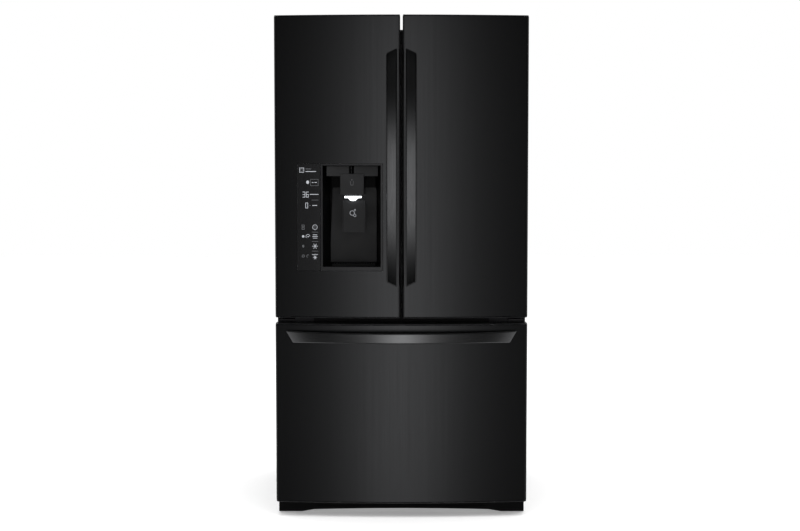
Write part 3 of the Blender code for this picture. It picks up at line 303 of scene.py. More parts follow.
finishes = {
    # pre-painted and brushed steel
    "doorSteel": finish(
        "black_steel", (0.050, 0.0505, 0.052), (0.235, 0.02), ("grain", (1300, 1300, 4)), 8e-6, 0.09,
        metallic=1.0,
    ),
    # the doors' black steel made lighter on the door handles for their highlight: painted highlight
    "uprightStrapHighlit": finish(
        "black_steel", (0.093, 0.0935, 0.096), (0.21, 0.03), ("grain", (1300, 1300, 7)), 1e-5, 0.10,
        metallic=1.0,
    ),
    # the same black steel made lighter still on the drawer handle for its brighter highlight: painted
    # highlight
    "levelStrapHighlit": finish(
        "black_steel", (0.176, 0.177, 0.181), (0.21, 0.03), ("grain", (7, 1300, 1300)), 1e-5, 0.10,
        metallic=1.0,
    ),
    "cabinetPaint": finish(
        "cabinet_paint", (0.012, 0.012, 0.0125), (0.42, 0.05), ("peel", 330.0), 6e-5, 0.06, dust=0.025
    ),
    # the cabinet's paint made darker and less glossy on the face frame, for the shade in the gaps round the
    # doors and drawer: painted shade
    "frameShadePaint": finish(
        "cabinet_paint", (0.0050, 0.0050, 0.0053), (0.45, 0.05), ("peel", 330.0), 6e-5, 0.06, plain=gloss(0.2)
    ),
    "zincSheet": finish(
        "galvanised", (0.46, 0.47, 0.48), (0.42, 0.10), ("spangle", 150.0), 1e-5, 0.07,
        metallic=1.0, dust=0.05,
    ),
    # black and grey plastics
    "touchGloss": finish(
        "black_gloss", (0.0035, 0.0035, 0.004), (0.16, 0.02), ("peel", 45.0), 4e-6, 0.05,
        plain={"Coat Weight": 0.5, "Coat Roughness": 0.06},
    ),
    "satinBlack": finish("black_gloss", (0.010, 0.010, 0.011), (0.30, 0.03), ("mould", 1400.0), 1.2e-5, 0.06),
    "mouldedBlack": finish(
        "black_plastic", (0.009, 0.009, 0.0095), (0.48, 0.05), ("mould", 1100.0), 3e-5, 0.10, dust=0.06
    ),
    # an extra dark black with little gloss, for the shade in the dispenser's recess, at its drip tray and
    # under the drawer at the base grille: painted shade
    "recessShadeBlack": finish(
        "black_plastic", (0.0018, 0.0018, 0.0020), (0.45, 0.05), ("mould", 1100.0), 2e-5, 0.10,
        plain=gloss(0.12),
    ),
    "mouldedGrey": finish(
        "grey_plastic", (0.0150, 0.0150, 0.0158), (0.42, 0.05), ("mould", 1200.0), 2e-5, 0.08,
        plain=gloss(0.3),
    ),
    "trimGrey": finish("grey_plastic", (0.30, 0.31, 0.32), (0.36, 0.05), ("mould", 1200.0), 2e-5, 0.06),
    "compressorEnamel": finish(
        "compressor_black", (0.010, 0.010, 0.010), (0.28, 0.06), ("peel", 260.0), 8e-5, 0.12, dust=0.25
    ),
    # white, clear and soft plastics
    "whiteLiner": finish(
        "white_plastic", (0.66, 0.67, 0.67), (0.34, 0.05), ("mould", 500.0), 3e-5, 0.025, dust=0.03
    ),
    "clearBin": finish(
        "clear_plastic", (0.93, 0.965, 0.98), (0.07, 0.03), ("peel", 60.0), 1e-5, 0.02,
        plain={"Transmission Weight": 0.86, "IOR": 1.45},
    ),
    "shelfGlass": finish(
        "shelf_glass", (0.86, 0.95, 0.93), (0.03, 0.01), ("peel", 20.0), 2e-6, 0.02,
        plain={"Transmission Weight": 0.95, "IOR": 1.5},
    ),
    "gasketRubber": finish(
        "gasket_rubber", (0.022, 0.022, 0.023), (0.62, 0.06), ("mould", 700.0), 3e-5, 0.12
    ),
    "foamBlock": finish("foam", (0.74, 0.68, 0.48), (0.9, 0.05), ("mould", 400.0), 2e-4, 0.15),
    # bare metal
    "zincPlate": finish(
        "zinc", (0.60, 0.60, 0.57), (0.30, 0.08), ("peel", 500.0), 1e-5, 0.10, metallic=1.0, edge=0.25
    ),
    "hingeSteel": finish(
        "zinc", (0.040, 0.040, 0.042), (0.42, 0.06), ("peel", 500.0), 1e-5, 0.10, metallic=1.0
    ),
    "copperTube": finish("zinc", (0.72, 0.36, 0.22), (0.34, 0.10), ("peel", 240.0), 1e-5, 0.22, metallic=1.0),
    # lamps and prints
    "lampGlow": finish(
        "lamp", (0.95, 0.97, 1.0), (0.4, 0.02), ("mould", 600.0), 1e-5, 0.02,
        plain={"Emission Strength": 3.2}, glow=(0.93, 0.96, 1.0),
    ),
    "lampLens": finish(
        "lamp", (0.90, 0.92, 0.94), (0.25, 0.02), ("mould", 300.0), 3e-5, 0.02,
        plain={"Emission Strength": 0.0}, glow=(0.95, 0.97, 1.0),
    ),
    "iconPrint": finish(
        "lamp", (0.34, 0.35, 0.37), (0.5, 0.02), ("peel", 300.0), 2e-6, 0.08,
        plain={"Emission Strength": 0.16}, glow=(0.86, 0.90, 1.0),
    ),
    "iconFaint": finish("lamp", (0.10, 0.103, 0.11), (0.5, 0.02), ("peel", 300.0), 2e-6, 0.08),
}


def groupNode(tree, name, inputs):
    return addNode(tree, "ShaderNodeGroup", inputs, node_tree=shaderGroups[name]).outputs


def buildMaterial(name, finish):
    made = bpy.data.materials.new(name)
    made.use_nodes = True
    tree = made.node_tree
    shader = tree.nodes["Principled BSDF"].inputs
    place = addNode(tree, "ShaderNodeTexCoord").outputs["Object"]
    kind, size = finish["pattern"]
    pattern = groupNode(tree, kind, {"Vector": place, "Stretch" if kind == "grain" else "Scale": size})
    colour = groupNode(tree, "tone", {
        "Colour": (*finish["colour"], 1.0), "Tone": pattern["Tone"],
        "Amount": finish["tone"], "Edge": finish.get("edge", 0.0),
    })["Colour"]
    middle, spread = finish["roughness"]
    roughness = mapRange(tree, pattern["Tone"], 0.0, 1.0, middle + spread, middle - spread)
    if "dust" in finish:
        dusty = {"Vector": place, "Colour": colour, "Roughness": roughness, "Amount": finish["dust"]}
        dust = groupNode(tree, "dust", dusty)
        colour, roughness = dust["Colour"], dust["Roughness"]
    bump = addNode(tree, "ShaderNodeBump", {
        "Strength": 1.0, "Distance": finish["relief"], "Height": pattern["Height"],
    })
    join(tree, colour, shader["Base Color"])
    join(tree, roughness, shader["Roughness"])
    join(tree, bump.outputs["Normal"], shader["Normal"])
    shader["Metallic"].default_value = finish.get("metallic", 0.0)
    for label, value in finish.get("plain", {}).items():
        shader[label].default_value = value
    if "glow" in finish:
        shader["Emission Color"].default_value = (*finish["glow"], 1.0)
    return made


materials = {name: buildMaterial(name, finish) for name, finish in finishes.items()}
print("materials built:", len(materials))

# ---- geometry node trees for what repeats or follows a path


def geometryTree(name, inputs):
    inputs = [("Geometry", shapeKind, None), *inputs, ("Material", materialKind, None)]
    return newTree(name, "GeometryNodeTree", inputs, [("Geometry", shapeKind)])


def finishTree(tree, given, result, geometry, smooth=False):
    # every tree ends in real geometry with its material set
    last = addNode(tree, "GeometryNodeRealizeInstances", {0: geometry}).outputs[0]
    if smooth:
        last = addNode(tree, "GeometryNodeSetShadeSmooth", {"Geometry": last}).outputs[0]
    inputs = {"Geometry": last, "Material": given["Material"]}
    join(tree, addNode(tree, "GeometryNodeSetMaterial", inputs).outputs[0], result[0])
    return tree


def turnedCopies(tree, given, points, shape):
    # one copy of a shape on each point, turned by the tree's Turn input
    turn = addNode(tree, "FunctionNodeEulerToRotation", {0: given["Turn"]}).outputs[0]
    inputs = {"Points": points, "Instance": shape, "Rotation": turn}
    return addNode(tree, "GeometryNodeInstanceOnPoints", inputs).outputs[0]


def buildSlatBank():
    # rows and columns of one bar, each turned the same way
    tree, given, result = geometryTree("slatBank", [
        ("Rows", wholeKind, 4), ("Columns", wholeKind, 1), ("Start", vectorKind, None),
        ("Row Step", vectorKind, None), ("Column Step", vectorKind, None),
        ("Size", vectorKind, None), ("Turn", vectorKind, None),
    ])
    columns = {"Count": given["Columns"], "Offset": given["Column Step"], "Start Location": given["Start"]}
    rows = {"Count": given["Rows"], "Offset": given["Row Step"]}
    lines = [
        addNode(tree, "GeometryNodeMeshLine", line, mode="OFFSET").outputs[0] for line in (columns, rows)
    ]
    lattice = addNode(tree, "GeometryNodeInstanceOnPoints", {"Points": lines[0], "Instance": lines[1]})
    flat = addNode(tree, "GeometryNodeRealizeInstances", {0: lattice.outputs[0]})
    bar = addNode(tree, "GeometryNodeMeshCube", {"Size": given["Size"]})
    return finishTree(tree, given, result, turnedCopies(tree, given, flat.outputs[0], bar.outputs[0]))


def buildScrewSet():
    # a pan head with a cross recess on each point of the mesh
    tree, given, result = geometryTree("screwSet", [
        ("Radius", numberKind, 0.004), ("Height", numberKind, 0.0016), ("Turn", vectorKind, None),
    ])
    topShare, bladeLong, bladeThin, bladeDeep = 0.62, 0.95, 0.22, 1.2   # shares of the head's sizes
    head = addNode(tree, "GeometryNodeMeshCone", {
        "Vertices": 18, "Radius Top": mathNode(tree, "MULTIPLY", given["Radius"], topShare),
        "Radius Bottom": given["Radius"], "Depth": given["Height"],
    })
    cut = addNode(tree, "GeometryNodeMeshBoolean", {0: head.outputs[0]}, operation="DIFFERENCE")
    rise = addNode(tree, "ShaderNodeCombineXYZ", {2: given["Height"]}).outputs[0]
    deep = mathNode(tree, "MULTIPLY", given["Height"], bladeDeep)
    for shares in ((bladeLong, bladeThin), (bladeThin, bladeLong)):
        wide, tall = (mathNode(tree, "MULTIPLY", given["Radius"], share) for share in shares)
        size = addNode(tree, "ShaderNodeCombineXYZ", {0: wide, 1: tall, 2: deep}).outputs[0]
        blade = addNode(tree, "GeometryNodeMeshCube", {"Size": size}).outputs[0]
        lifted = addNode(tree, "GeometryNodeTransform", {"Geometry": blade, "Translation": rise})
        join(tree, lifted.outputs[0], cut.inputs[1])
    heads = turnedCopies(tree, given, given["Geometry"], cut.outputs[0])
    return finishTree(tree, given, result, heads)


def buildTubeRun():
    # a round tube along the mesh's edges, with its corners rounded
    tree, given, result = geometryTree("tubeRun", [
        ("Radius", numberKind, 0.003), ("Bend", numberKind, 0.012),
    ])
    path = addNode(tree, "GeometryNodeMeshToCurve", {"Mesh": given["Geometry"]}).outputs[0]
    fillet = tree.nodes.new("GeometryNodeFilletCurve")
    if hasattr(fillet, "mode"):
        fillet.mode = "POLY"
    fillet.inputs["Count"].default_value = 6
    join(tree, path, fillet.inputs["Curve"])
    join(tree, given["Bend"], fillet.inputs["Radius"])
    circle = {"Resolution": 12, "Radius": given["Radius"]}
    ring = addNode(tree, "GeometryNodeCurvePrimitiveCircle", circle).outputs[0]
    inputs = {"Curve": fillet.outputs[0], "Profile Curve": ring, "Fill Caps": True}
    sweep = addNode(tree, "GeometryNodeCurveToMesh", inputs)
    return finishTree(tree, given, result, sweep.outputs[0], smooth=True)


geometryTrees = {"slats": buildSlatBank(), "screws": buildScrewSet(), "tube": buildTubeRun()}

# ---- pieces


def showPiece(name, mesh, body, finish, stands=()):
    obj = bpy.data.objects.new(name, mesh)
    bpy.context.scene.collection.objects.link(obj)
    if not mesh.materials:
        mesh.materials.append(materials[finish])
    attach(obj, body)
    if stands:
        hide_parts(*stands)
    return obj


def roundEdges(obj, width, segments, sharp):
    rounding = obj.modifiers.new("Rounding", "BEVEL")
    rounding.width = width
    rounding.segments = segments
    rounding.limit_method = "ANGLE"
    rounding.angle_limit = math.radians(sharp)


def makePiece(name, bm, body, finish, stands=(), bevel=0.0, segments=3, sharp=38, wall=0.0):
    mesh = bpy.data.meshes.new(name)
    bm.edges.index_update()
    rims = [edge.index for edge in bm.edges if edge.is_boundary]
    bm.to_mesh(mesh)
    bm.free()
    mesh.shade_smooth()
    if not bevel:
        mesh.set_sharp_from_angle(angle=math.radians(sharp))
    for index in rims:
        mesh.edges[index].use_edge_sharp = True
    obj = showPiece(name, mesh, body, finish, stands)
    if wall:
        thicken = obj.modifiers.new("Wall", "SOLIDIFY")
        thicken.thickness = wall
        thicken.offset = -1
        thicken.use_even_offset = True
    if bevel:
        roundEdges(obj, bevel, segments, sharp)
    weighted = obj.modifiers.new("Shading", "WEIGHTED_NORMAL")
    weighted.keep_sharp = True
    return obj


def growPiece(name, kind, values, body, finish, points=(), edges=(), stands=()):
    # a geometry node tree makes the mesh, which then stays as a plain mesh
    tree = geometryTrees[kind]
    seed = bpy.data.meshes.new(name + "_points")
    seed.from_pydata([tuple(point) for point in points], list(edges), [])
    holder = bpy.data.objects.new(name + "_grow", seed)
    bpy.context.scene.collection.objects.link(holder)
    modifier = holder.modifiers.new("Grow", "NODES")
    modifier.node_group = tree
    given = {"Material": materials[finish], **values}
    for item in tree.interface.items_tree:
        if item.in_out == "INPUT" and item.name in given:
            modifier[item.identifier] = given[item.name]
    graph = bpy.context.evaluated_depsgraph_get()
    mesh = bpy.data.meshes.new_from_object(holder.evaluated_get(graph))
    mesh.name = name
    bpy.data.objects.remove(holder)
    return showPiece(name, mesh, body, finish, stands)


def growSlats(
    name, body, finish, rows, start, rowStep, size, columns=1, columnStep=(0, 0, 0), turn=(0, 0, 0), stands=()
):
    values = {
        "Rows": rows, "Columns": columns, "Start": start, "Row Step": rowStep, "Column Step": columnStep,
        "Size": size, "Turn": turn,
    }
    return growPiece(name, "slats", values, body, finish, stands=stands)


def growScrews(name, points, radius, height, turn=(0, 0, 0), finish="zincPlate"):
    values = {"Radius": radius, "Height": height, "Turn": turn}
    return growPiece(name, "screws", values, "cabinet", finish, points=points)


def boxPiece(name, body, finish, boxes, stands=(), **edges):
    bm = bmesh.new()
    for low, high in boxes:
        addBox(bm, low, high)
    return makePiece(name, bm, body, finish, stands, **edges)


def platePiece(name, body, finish, x, z, radius, y, axis=1, **edges):
    # a flat plate with rounded corners
    bm = bmesh.new()
    addRoundPlate(bm, x, z, radius, y, axis)
    return makePiece(name, bm, body, finish, **edges)


def softenedCopy(node, body, finish, bevel, segments=2, edit=None):
    # the CAD node's own shape, merged into clean faces, with its edges rounded
    bm = bmesh.new()
    bm.from_mesh(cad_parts[node].data)
    bmesh.ops.remove_doubles(bm, verts=bm.verts, dist=2e-5)
    bmesh.ops.dissolve_limit(
        bm, angle_limit=math.radians(1.2), verts=bm.verts, edges=bm.edges, delimit={"NORMAL"}
    )
    for face in bm.faces:
        face.material_index = 0
    if edit:
        edit(bm)
    for layer in list(bm.loops.layers.uv.values()):
        bm.loops.layers.uv.remove(layer)
    made = makePiece(f"{node}_moulding", bm, body, finish, (node,), bevel, segments)
    made.modifiers["Rounding"].use_clamp_overlap = True


def keepNode(node, finish):
    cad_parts[node].data.materials.clear()
    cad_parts[node].data.materials.append(materials[finish])


# ---- the crowned panels: two doors and the drawer share one curve

panelSizes = {
    "crown": 0.030,       # how far the middle stands ahead of the outer edges
    "edgeDepth": 0.055,
    "outerRound": 0.010,
    "innerRound": 0.006,
    "hem": 0.0022,        # the small roll at the top and bottom of a skin
    "sheet": 0.0014,
    "cap": 0.0033,        # plastic end caps above and below a skin
    "frontSteps": 36,
    "slit": 0.0003,       # between a skin and what lies behind it
    "frontReach": 0.045,  # a window cuts only what lies this far ahead of a skin's back
}
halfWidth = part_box("drawer_skin")[1].x
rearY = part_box("drawer_skin")[1].y
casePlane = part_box("cabinet_wrapper")[0].y
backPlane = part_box("cabinet_wrapper")[1].y


def frontY(x):
    rise = 1 - (x / halfWidth) ** 2
    return rearY - panelSizes["edgeDepth"] - panelSizes["crown"] * rise


def panelSection(xLow, xHigh, inset, stops=(), cornerSteps=7):
    # plan outline from the back of one side, round the front, to the back of the other
    rounds = [
        panelSizes["outerRound"] if abs(x) > halfWidth - 0.001 else panelSizes["innerRound"]
        for x in (xLow, xHigh)
    ]
    left, right = xLow + inset, xHigh - inset
    centres = (xLow + rounds[0], xHigh - rounds[1])
    points = [(left, rearY + panelSizes["slit"])]
    between = spread(*centres, panelSizes["frontSteps"])[1:-1]
    between = sorted(set(between) | {x for x in stops if centres[0] < x < centres[1]})
    for side, centre, radius in ((180, centres[0], rounds[0]), (270, centres[1], rounds[1])):
        if side == 270:
            points += [(x, frontY(x) + inset) for x in between]
        for step in range(cornerSteps + 1):
            angle = math.radians(side + 90 * step / cornerSteps)
            reach = max(radius - inset, 0.0004)
            points.append((
                centre + reach * math.cos(angle),
                frontY(centre) + radius + reach * math.sin(angle),
            ))
    points.append((right, rearY + panelSizes["slit"]))
    return points


def panelRings(xLow, xHigh, zLow, zHigh, roll, extra=(), stops=(), steps=4, base=0.0):
    levels = []
    for step in range(steps + 1):
        angle = math.pi / 2 * step / steps
        levels.append((zLow + roll * (1 - math.cos(angle)), roll * (1 - math.sin(angle))))
    upper = [(zHigh + zLow - z, inset) for z, inset in reversed(levels)]
    levels += [(z, 0.0) for z in sorted(extra)] + upper
    return [
        [(x, y, z) for x, y in panelSection(xLow, xHigh, base + inset, stops)]
        for z, inset in levels
    ]


def makeSkin(node, body, window=None, notch=None):
    low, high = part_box(node)
    extra, stops = [], []
    if window:
        extra += [window[0].z, window[1].z]
        stops += [window[0].x, window[1].x]
    if notch:
        extra.append(notch["floor"])

    def skip(middle):
        if window and middle.y < rearY - panelSizes["frontReach"]:
            inside = window[0].x < middle.x < window[1].x and window[0].z < middle.z < window[1].z
            if inside:
                return True
        if notch and middle.z > notch["floor"]:
            return middle.x * notch["side"] > halfWidth - 0.004 and middle.y > notch["front"]
        return False

    bm = bmesh.new()
    rings = panelRings(low.x, high.x, low.z, high.z, panelSizes["hem"], extra, stops)
    addLoft(bm, rings, closed=False, skip=skip)
    return makePiece(
        node + "_sheet", bm, body, "doorSteel", (node,), wall=panelSizes["sheet"], sharp=50
    )


def makeCaps(node, body):
    # plastic caps close the skin's two ends
    low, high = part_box(node)
    bm = bmesh.new()
    cap, inset = panelSizes["cap"], 0.0006
    for zLow, zHigh in ((low.z, low.z + cap - 0.0004), (high.z - cap + 0.0004, high.z)):
        rings = panelRings(low.x, high.x, zLow, zHigh, 0.0010, steps=2, base=inset)
        addLoft(bm, rings, capped=True)
    bmesh.ops.recalc_face_normals(bm, faces=bm.faces)
    return makePiece(node.replace("liner", "end_caps"), bm, body, "satinBlack", sharp=50)


bezelLow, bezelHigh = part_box("dispenser_bezel")
bezelRoom = Vector((0.0005, 0, 0.0005))
hingeNotch = {
    "floor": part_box("left_top_hinge")[0].z + 0.016,
    "front": rearY - 0.0490,
    "wall": rearY - 0.0478,
    "inner": 0.0300,      # from the door's outer edge
}
for sideName, side in (("left", -1), ("right", 1)):
    makeSkin(
        f"{sideName}_door_skin", f"{sideName}_door",
        window=(bezelLow - bezelRoom, bezelHigh + bezelRoom) if side < 0 else None,
        notch={**hingeNotch, "side": side},
    )
makeSkin("drawer_skin", "freezer_drawer")
print("panel skins made")

# ---- handles: a bowed strap with rounded edges and slanted ends

handleSizes = {
    "foot": 0.016,
    "reach": 0.058,
    "thickness": 0.013,
    "edge": 0.0042,
    "doorSlant": 0.018,
    "drawerSlant": 0.026,
    "drawerFlare": 0.008,
    "bowSteps": 44,
    "footShare": 0.93,    # where the strap's back turns into its foot
}


def strapOutline():
    sizes = handleSizes
    shares = spread(-1.0, 1.0, sizes["bowSteps"])

    def bow(share):
        return sizes["foot"] + (sizes["reach"] - sizes["foot"]) * (1 - share**2)

    start = 0.0003
    points = [(-1, start)] + [(s, bow(s)) for s in shares] + [(1, start), (sizes["footShare"], start)]
    for s in reversed(shares[1:-1]):
        share = s / shares[-2] * sizes["footShare"]
        points.append((share, bow(share) - sizes["thickness"]))
    return points + [(-sizes["footShare"], start)]


def makeHandle(node, body, finish, place):
    bm = bmesh.new()
    addPrism(bm, strapOutline(), 0, -1, 1)
    for vert in bm.verts:
        vert.co = place(*vert.co)
    bmesh.ops.recalc_face_normals(bm, faces=bm.faces)
    return makePiece(node + "_strap", bm, body, finish, (node,), handleSizes["edge"], 4, sharp=45)


def makeDoorHandle(sideName, side):
    node = f"{sideName}_door_handle"
    low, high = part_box(node)
    centre, half = (low.x + high.x) / 2, (high.x - low.x) / 2
    middle, length = (low.z + high.z) / 2, (high.z - low.z) / 2

    def place(across, share, out):
        x = centre + across * half
        slant = handleSizes["doorSlant"] * (across * side + 1) / 2 * abs(share) ** 6
        return Vector((x, frontY(x) - out, middle + share * (length - slant)))

    makeHandle(node, f"{sideName}_door", "uprightStrapHighlit", place)


def makeDrawerHandle():
    low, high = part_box("drawer_handle")
    middle, length = (low.z + high.z) / 2, (high.x - low.x) / 2
    height = (high.z - low.z) - handleSizes["drawerFlare"]

    def place(across, share, out):
        slant = handleSizes["drawerSlant"] * (1 - across) / 2 * abs(share) ** 6
        x = share * (length - slant)
        tall = height + handleSizes["drawerFlare"] * share**4
        return Vector((x, frontY(x) - out, middle + across * tall / 2))

    makeHandle("drawer_handle", "freezer_drawer", "levelStrapHighlit", place)


makeDoorHandle("left", -1)
makeDoorHandle("right", 1)
makeDrawerHandle()
print("handles made")

# ---- dispenser

dispenser = {
    "panelRight": bezelLow.x + 0.0835,    # the touch panel ends here, and the surround begins
    "seam": 0.0009,
    "windowLow": Vector((bezelLow.x + 0.0910, 0, bezelLow.z + 0.0150)),
    "windowHigh": Vector((bezelHigh.x - 0.0083, 0, bezelHigh.z - 0.0070)),
    "proud": 0.0008,
    "thickness": 0.0055,
    "taper": (0.0205, 0.0123),            # how far the recess's side walls lean in
    "backRound": 0.010,
    "frontCorner": 0.003,
    "backCorner": 0.010,
    "wall": 0.0022,
}


def crownedPlate(name, x, z, finish, window=None, stands=(), bevel=0.0012):
    # a plate that lies on the door's curve, with an optional window
    xStops = sorted(set(spread(x[0], x[1], 12)) | ({window[0].x, window[1].x} if window else set()))
    zStops = [z[0]] + ([window[0].z, window[1].z] if window else []) + [z[1]]
    proud = dispenser["proud"]
    rings = [[(px, frontY(px) - proud, pz) for px in xStops] for pz in zStops]

    def skip(middle):
        return window and window[0].x < middle.x < window[1].x and window[0].z < middle.z < window[1].z

    bm = bmesh.new()
    addLoft(bm, rings, closed=False, skip=skip)
    made = makePiece(name, bm, "left_door", finish, stands, wall=dispenser["thickness"], sharp=50)
    roundEdges(made, bevel, 3, 50)
    made.modifiers.move(made.modifiers.find("Rounding"), 1)   # before the shading


crownedPlate(
    "dispenser_touch_panel", (bezelLow.x, dispenser["panelRight"] - dispenser["seam"]),
    (bezelLow.z, bezelHigh.z), "touchGloss",
)
crownedPlate(
    "dispenser_surround", (dispenser["panelRight"], bezelHigh.x), (bezelLow.z, bezelHigh.z),
    "satinBlack", window=(dispenser["windowLow"], dispenser["windowHigh"]), stands=("dispenser_bezel",),
)


def makeRecess():
    # a tray whose side walls lean in, with a rounded corner all round its back
    low, high = dispenser["windowLow"], dispenser["windowHigh"]
    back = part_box("dispenser_recess")[1].y - 0.0025
    taper, soft = dispenser["taper"], dispenser["backRound"]
    cornerRise = dispenser["backCorner"] - dispenser["frontCorner"]
    cornerSteps = 5
    quarter = [math.pi / 2 * step / cornerSteps for step in range(cornerSteps + 1)]
    stations = [(0.0, 0.0, soft), (0.5, 0.0, soft)]   # share of the depth, shrink, distance from the back
    stations += [(1.0, soft * (1 - math.cos(angle)), soft * (1 - math.sin(angle))) for angle in quarter]
    rings = []
    for share, shrink, fromBack in stations:
        xLow, xHigh = low.x + taper[0] * share + shrink, high.x - taper[1] * share - shrink
        corner = dispenser["frontCorner"] + cornerRise * share
        ring = []
        for x, z in roundedRect(xLow, xHigh, low.z + shrink, high.z - shrink, corner):
            front = frontY(x) + 0.0060
            y = back - fromBack if share == 1.0 else front + (back - soft - front) * share
            ring.append((x, y, z))
        rings.append(ring)
    bm = bmesh.new()
    addLoft(bm, rings)
    bm.verts.ensure_lookup_table()
    bm.faces.new(bm.verts[-len(rings[0]):])
    bmesh.ops.recalc_face_normals(bm, faces=bm.faces)
    bottom = min(bm.faces, key=lambda f: f.calc_center_median().z)
    if bottom.normal.z < 0:
        bmesh.ops.reverse_faces(bm, faces=bm.faces)
    # the tray's extra dark black stands for the shade inside the recess: painted shade
    wall = dispenser["wall"]
    makePiece(
        "dispenser_recess_tray", bm, "left_door", "recessShadeBlack", ("dispenser_recess",), wall=wall, sharp=50
    )
    makeSplashPlate(low, high, back - wall)


def makeSplashPlate(low, high, y):
    # the lighter plate on the recess's back wall, wider at its foot
    foot, head, thickness, arcSteps = low.z + 0.0112, high.z - 0.079, 0.0018, 4
    corners = [
        Vector((low.x + 0.0212, foot)), Vector((low.x + 0.1938, foot)),
        Vector((low.x + 0.1906, head)), Vector((low.x + 0.0314, head)),
    ]
    outline = []
    for k, here in enumerate(corners):
        radius = 0.004 if k < 2 else 0.006   # the foot's two corners are tighter
        start = here + (corners[k - 1] - here).normalized() * radius
        end = here + (corners[(k + 1) % 4] - here).normalized() * radius
        for t in spread(0.0, 1.0, arcSteps):
            outline.append(tuple(start * (1 - t) ** 2 + here * 2 * t * (1 - t) + end * t**2))
    bm = bmesh.new()
    addPrism(bm, outline, 1, y, y + thickness)
    makePiece("dispenser_splash_plate", bm, "left_door", "mouldedGrey", bevel=0.0006, segments=2)


makeRecess()


def makeChute():
    # blocks under the recess's top, the housing with the lamp, and a spout behind it
    low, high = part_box("dispenser_chute")
    front, left, top, roof = low.y, dispenser["windowLow"].x, dispenser["windowHigh"].z, high.z - 0.001
    boxPiece("dispenser_top_blocks", "left_door", "mouldedGrey", [
        ((left + 0.0138, front + 0.0030, top - 0.0375), (left + 0.0946, front + 0.0132, roof)),
        ((left + 0.1114, front + 0.0030, top - 0.0375), (left + 0.1972, front + 0.0132, roof)),
        ((left + 0.1006, front + 0.0060, top - 0.0300), (left + 0.1034, front + 0.0125, roof)),
    ], bevel=0.0012)
    foot, leanIn, middle = top - 0.1050, 0.0012, left + 0.104
    bm = bmesh.new()
    box = addBox(bm, (left + 0.0618, front + 0.0002, foot), (left + 0.1478, high.y - 0.0004, top - 0.0285))
    for vert in box:
        if vert.co.z < foot + 0.001:
            vert.co.x += leanIn if vert.co.x < middle else -leanIn
    makePiece("dispenser_chute_housing", bm, "left_door", "mouldedGrey", ("dispenser_chute",), bevel=0.0022)
    bm = bmesh.new()
    profile = [(0.0, 0.0), (0.0135, 0.0), (0.0150, 0.002), (0.0150, 0.012), (0.0, 0.012)]
    addTurned(bm, profile, (left + 0.1043, front + 0.066, top - 0.1165), (0, 0, 1))
    makePiece("dispenser_spout", bm, "left_door", "mouldedBlack")


makeChute()


def makeLamp():
    # a glowing lens that drops downwards in its middle, a shape that stands for the lamp's glow spreading
    # below the strip: painted light
    low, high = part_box("dispenser_lamp")
    middle, half, top = (low.x + high.x) / 2, (high.x - low.x) / 2 - 0.003, high.z - 0.004
    glowSpread, glowSpreadWidth = 0.0105, 0.48   # the width is a share of the lens's half
    outline = [(middle - half, top), (middle + half, top)]
    for x in spread(1.0, -1.0, 18):
        drop = glowSpread * math.exp(-((x / glowSpreadWidth) ** 4)) if abs(x) < 0.999 else 0.0
        outline.append((middle + x * half, low.z + 0.0008 - drop))
    bm = bmesh.new()
    addPrism(bm, outline, 1, low.y, high.y - 0.006)
    makePiece(
        "dispenser_lamp_lens", bm, "left_door", "lampGlow", ("dispenser_lamp",), bevel=0.0008, segments=2
    )


makeLamp()


def makePaddle():
    # a curved lever with raised side flanges: (drop below its top, lean towards the front)
    low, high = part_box("dispenser_paddle")
    axisY, edge, flange, tipNarrower = high.y - 0.004, 0.0032, 0.0008, 0.002
    stations = [
        (0.0005, 0.0), (0.020, -0.0012), (0.045, -0.0030), (0.070, -0.0052), (0.092, -0.0075),
        (0.1125, -0.0098), (0.1152, -0.0102),
    ]
    rings = []
    for drop, lean in stations:
        narrow = tipNarrower if drop == stations[-1][0] else 0.0
        xLow, xHigh, z = low.x + narrow, high.x - narrow, high.z - drop
        near, far = axisY + lean - 0.0036, axisY + lean + 0.0012
        outer, inner = near - flange, near + 0.0006
        rings.append([
            (xLow, outer, z), (xLow + edge, outer, z), (xLow + edge + 0.001, inner, z),
            (xHigh - edge - 0.001, inner, z), (xHigh - edge, outer, z), (xHigh, outer, z),
            (xHigh, far, z), (xLow, far, z),
        ])
    bm = bmesh.new()
    addLoft(bm, rings, capped=True)
    bmesh.ops.recalc_face_normals(bm, faces=bm.faces)
    makePiece(
        "dispenser_paddle_lever", bm, "paddle", "mouldedGrey", ("dispenser_paddle",),
        bevel=0.0007, segments=2, sharp=30,
    )


makePaddle()


def makeDripTray():
    low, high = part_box("drip_tray")
    softenedCopy("drip_tray", "left_door", "recessShadeBlack", 0.0008)
    bars, edge, bar = 17, 0.006, 0.0022
    growSlats(
        "drip_tray_grate", "left_door", "mouldedGrey", bars,
        (low.x + edge, (low.y + high.y) / 2, high.z - bar),
        ((high.x - low.x - 2 * edge) / (bars - 1), 0, 0), (0.0035, high.y - low.y - 0.0045, bar),
    )


makeDripTray()


# ---- icons: thin raised prints on the touch panel


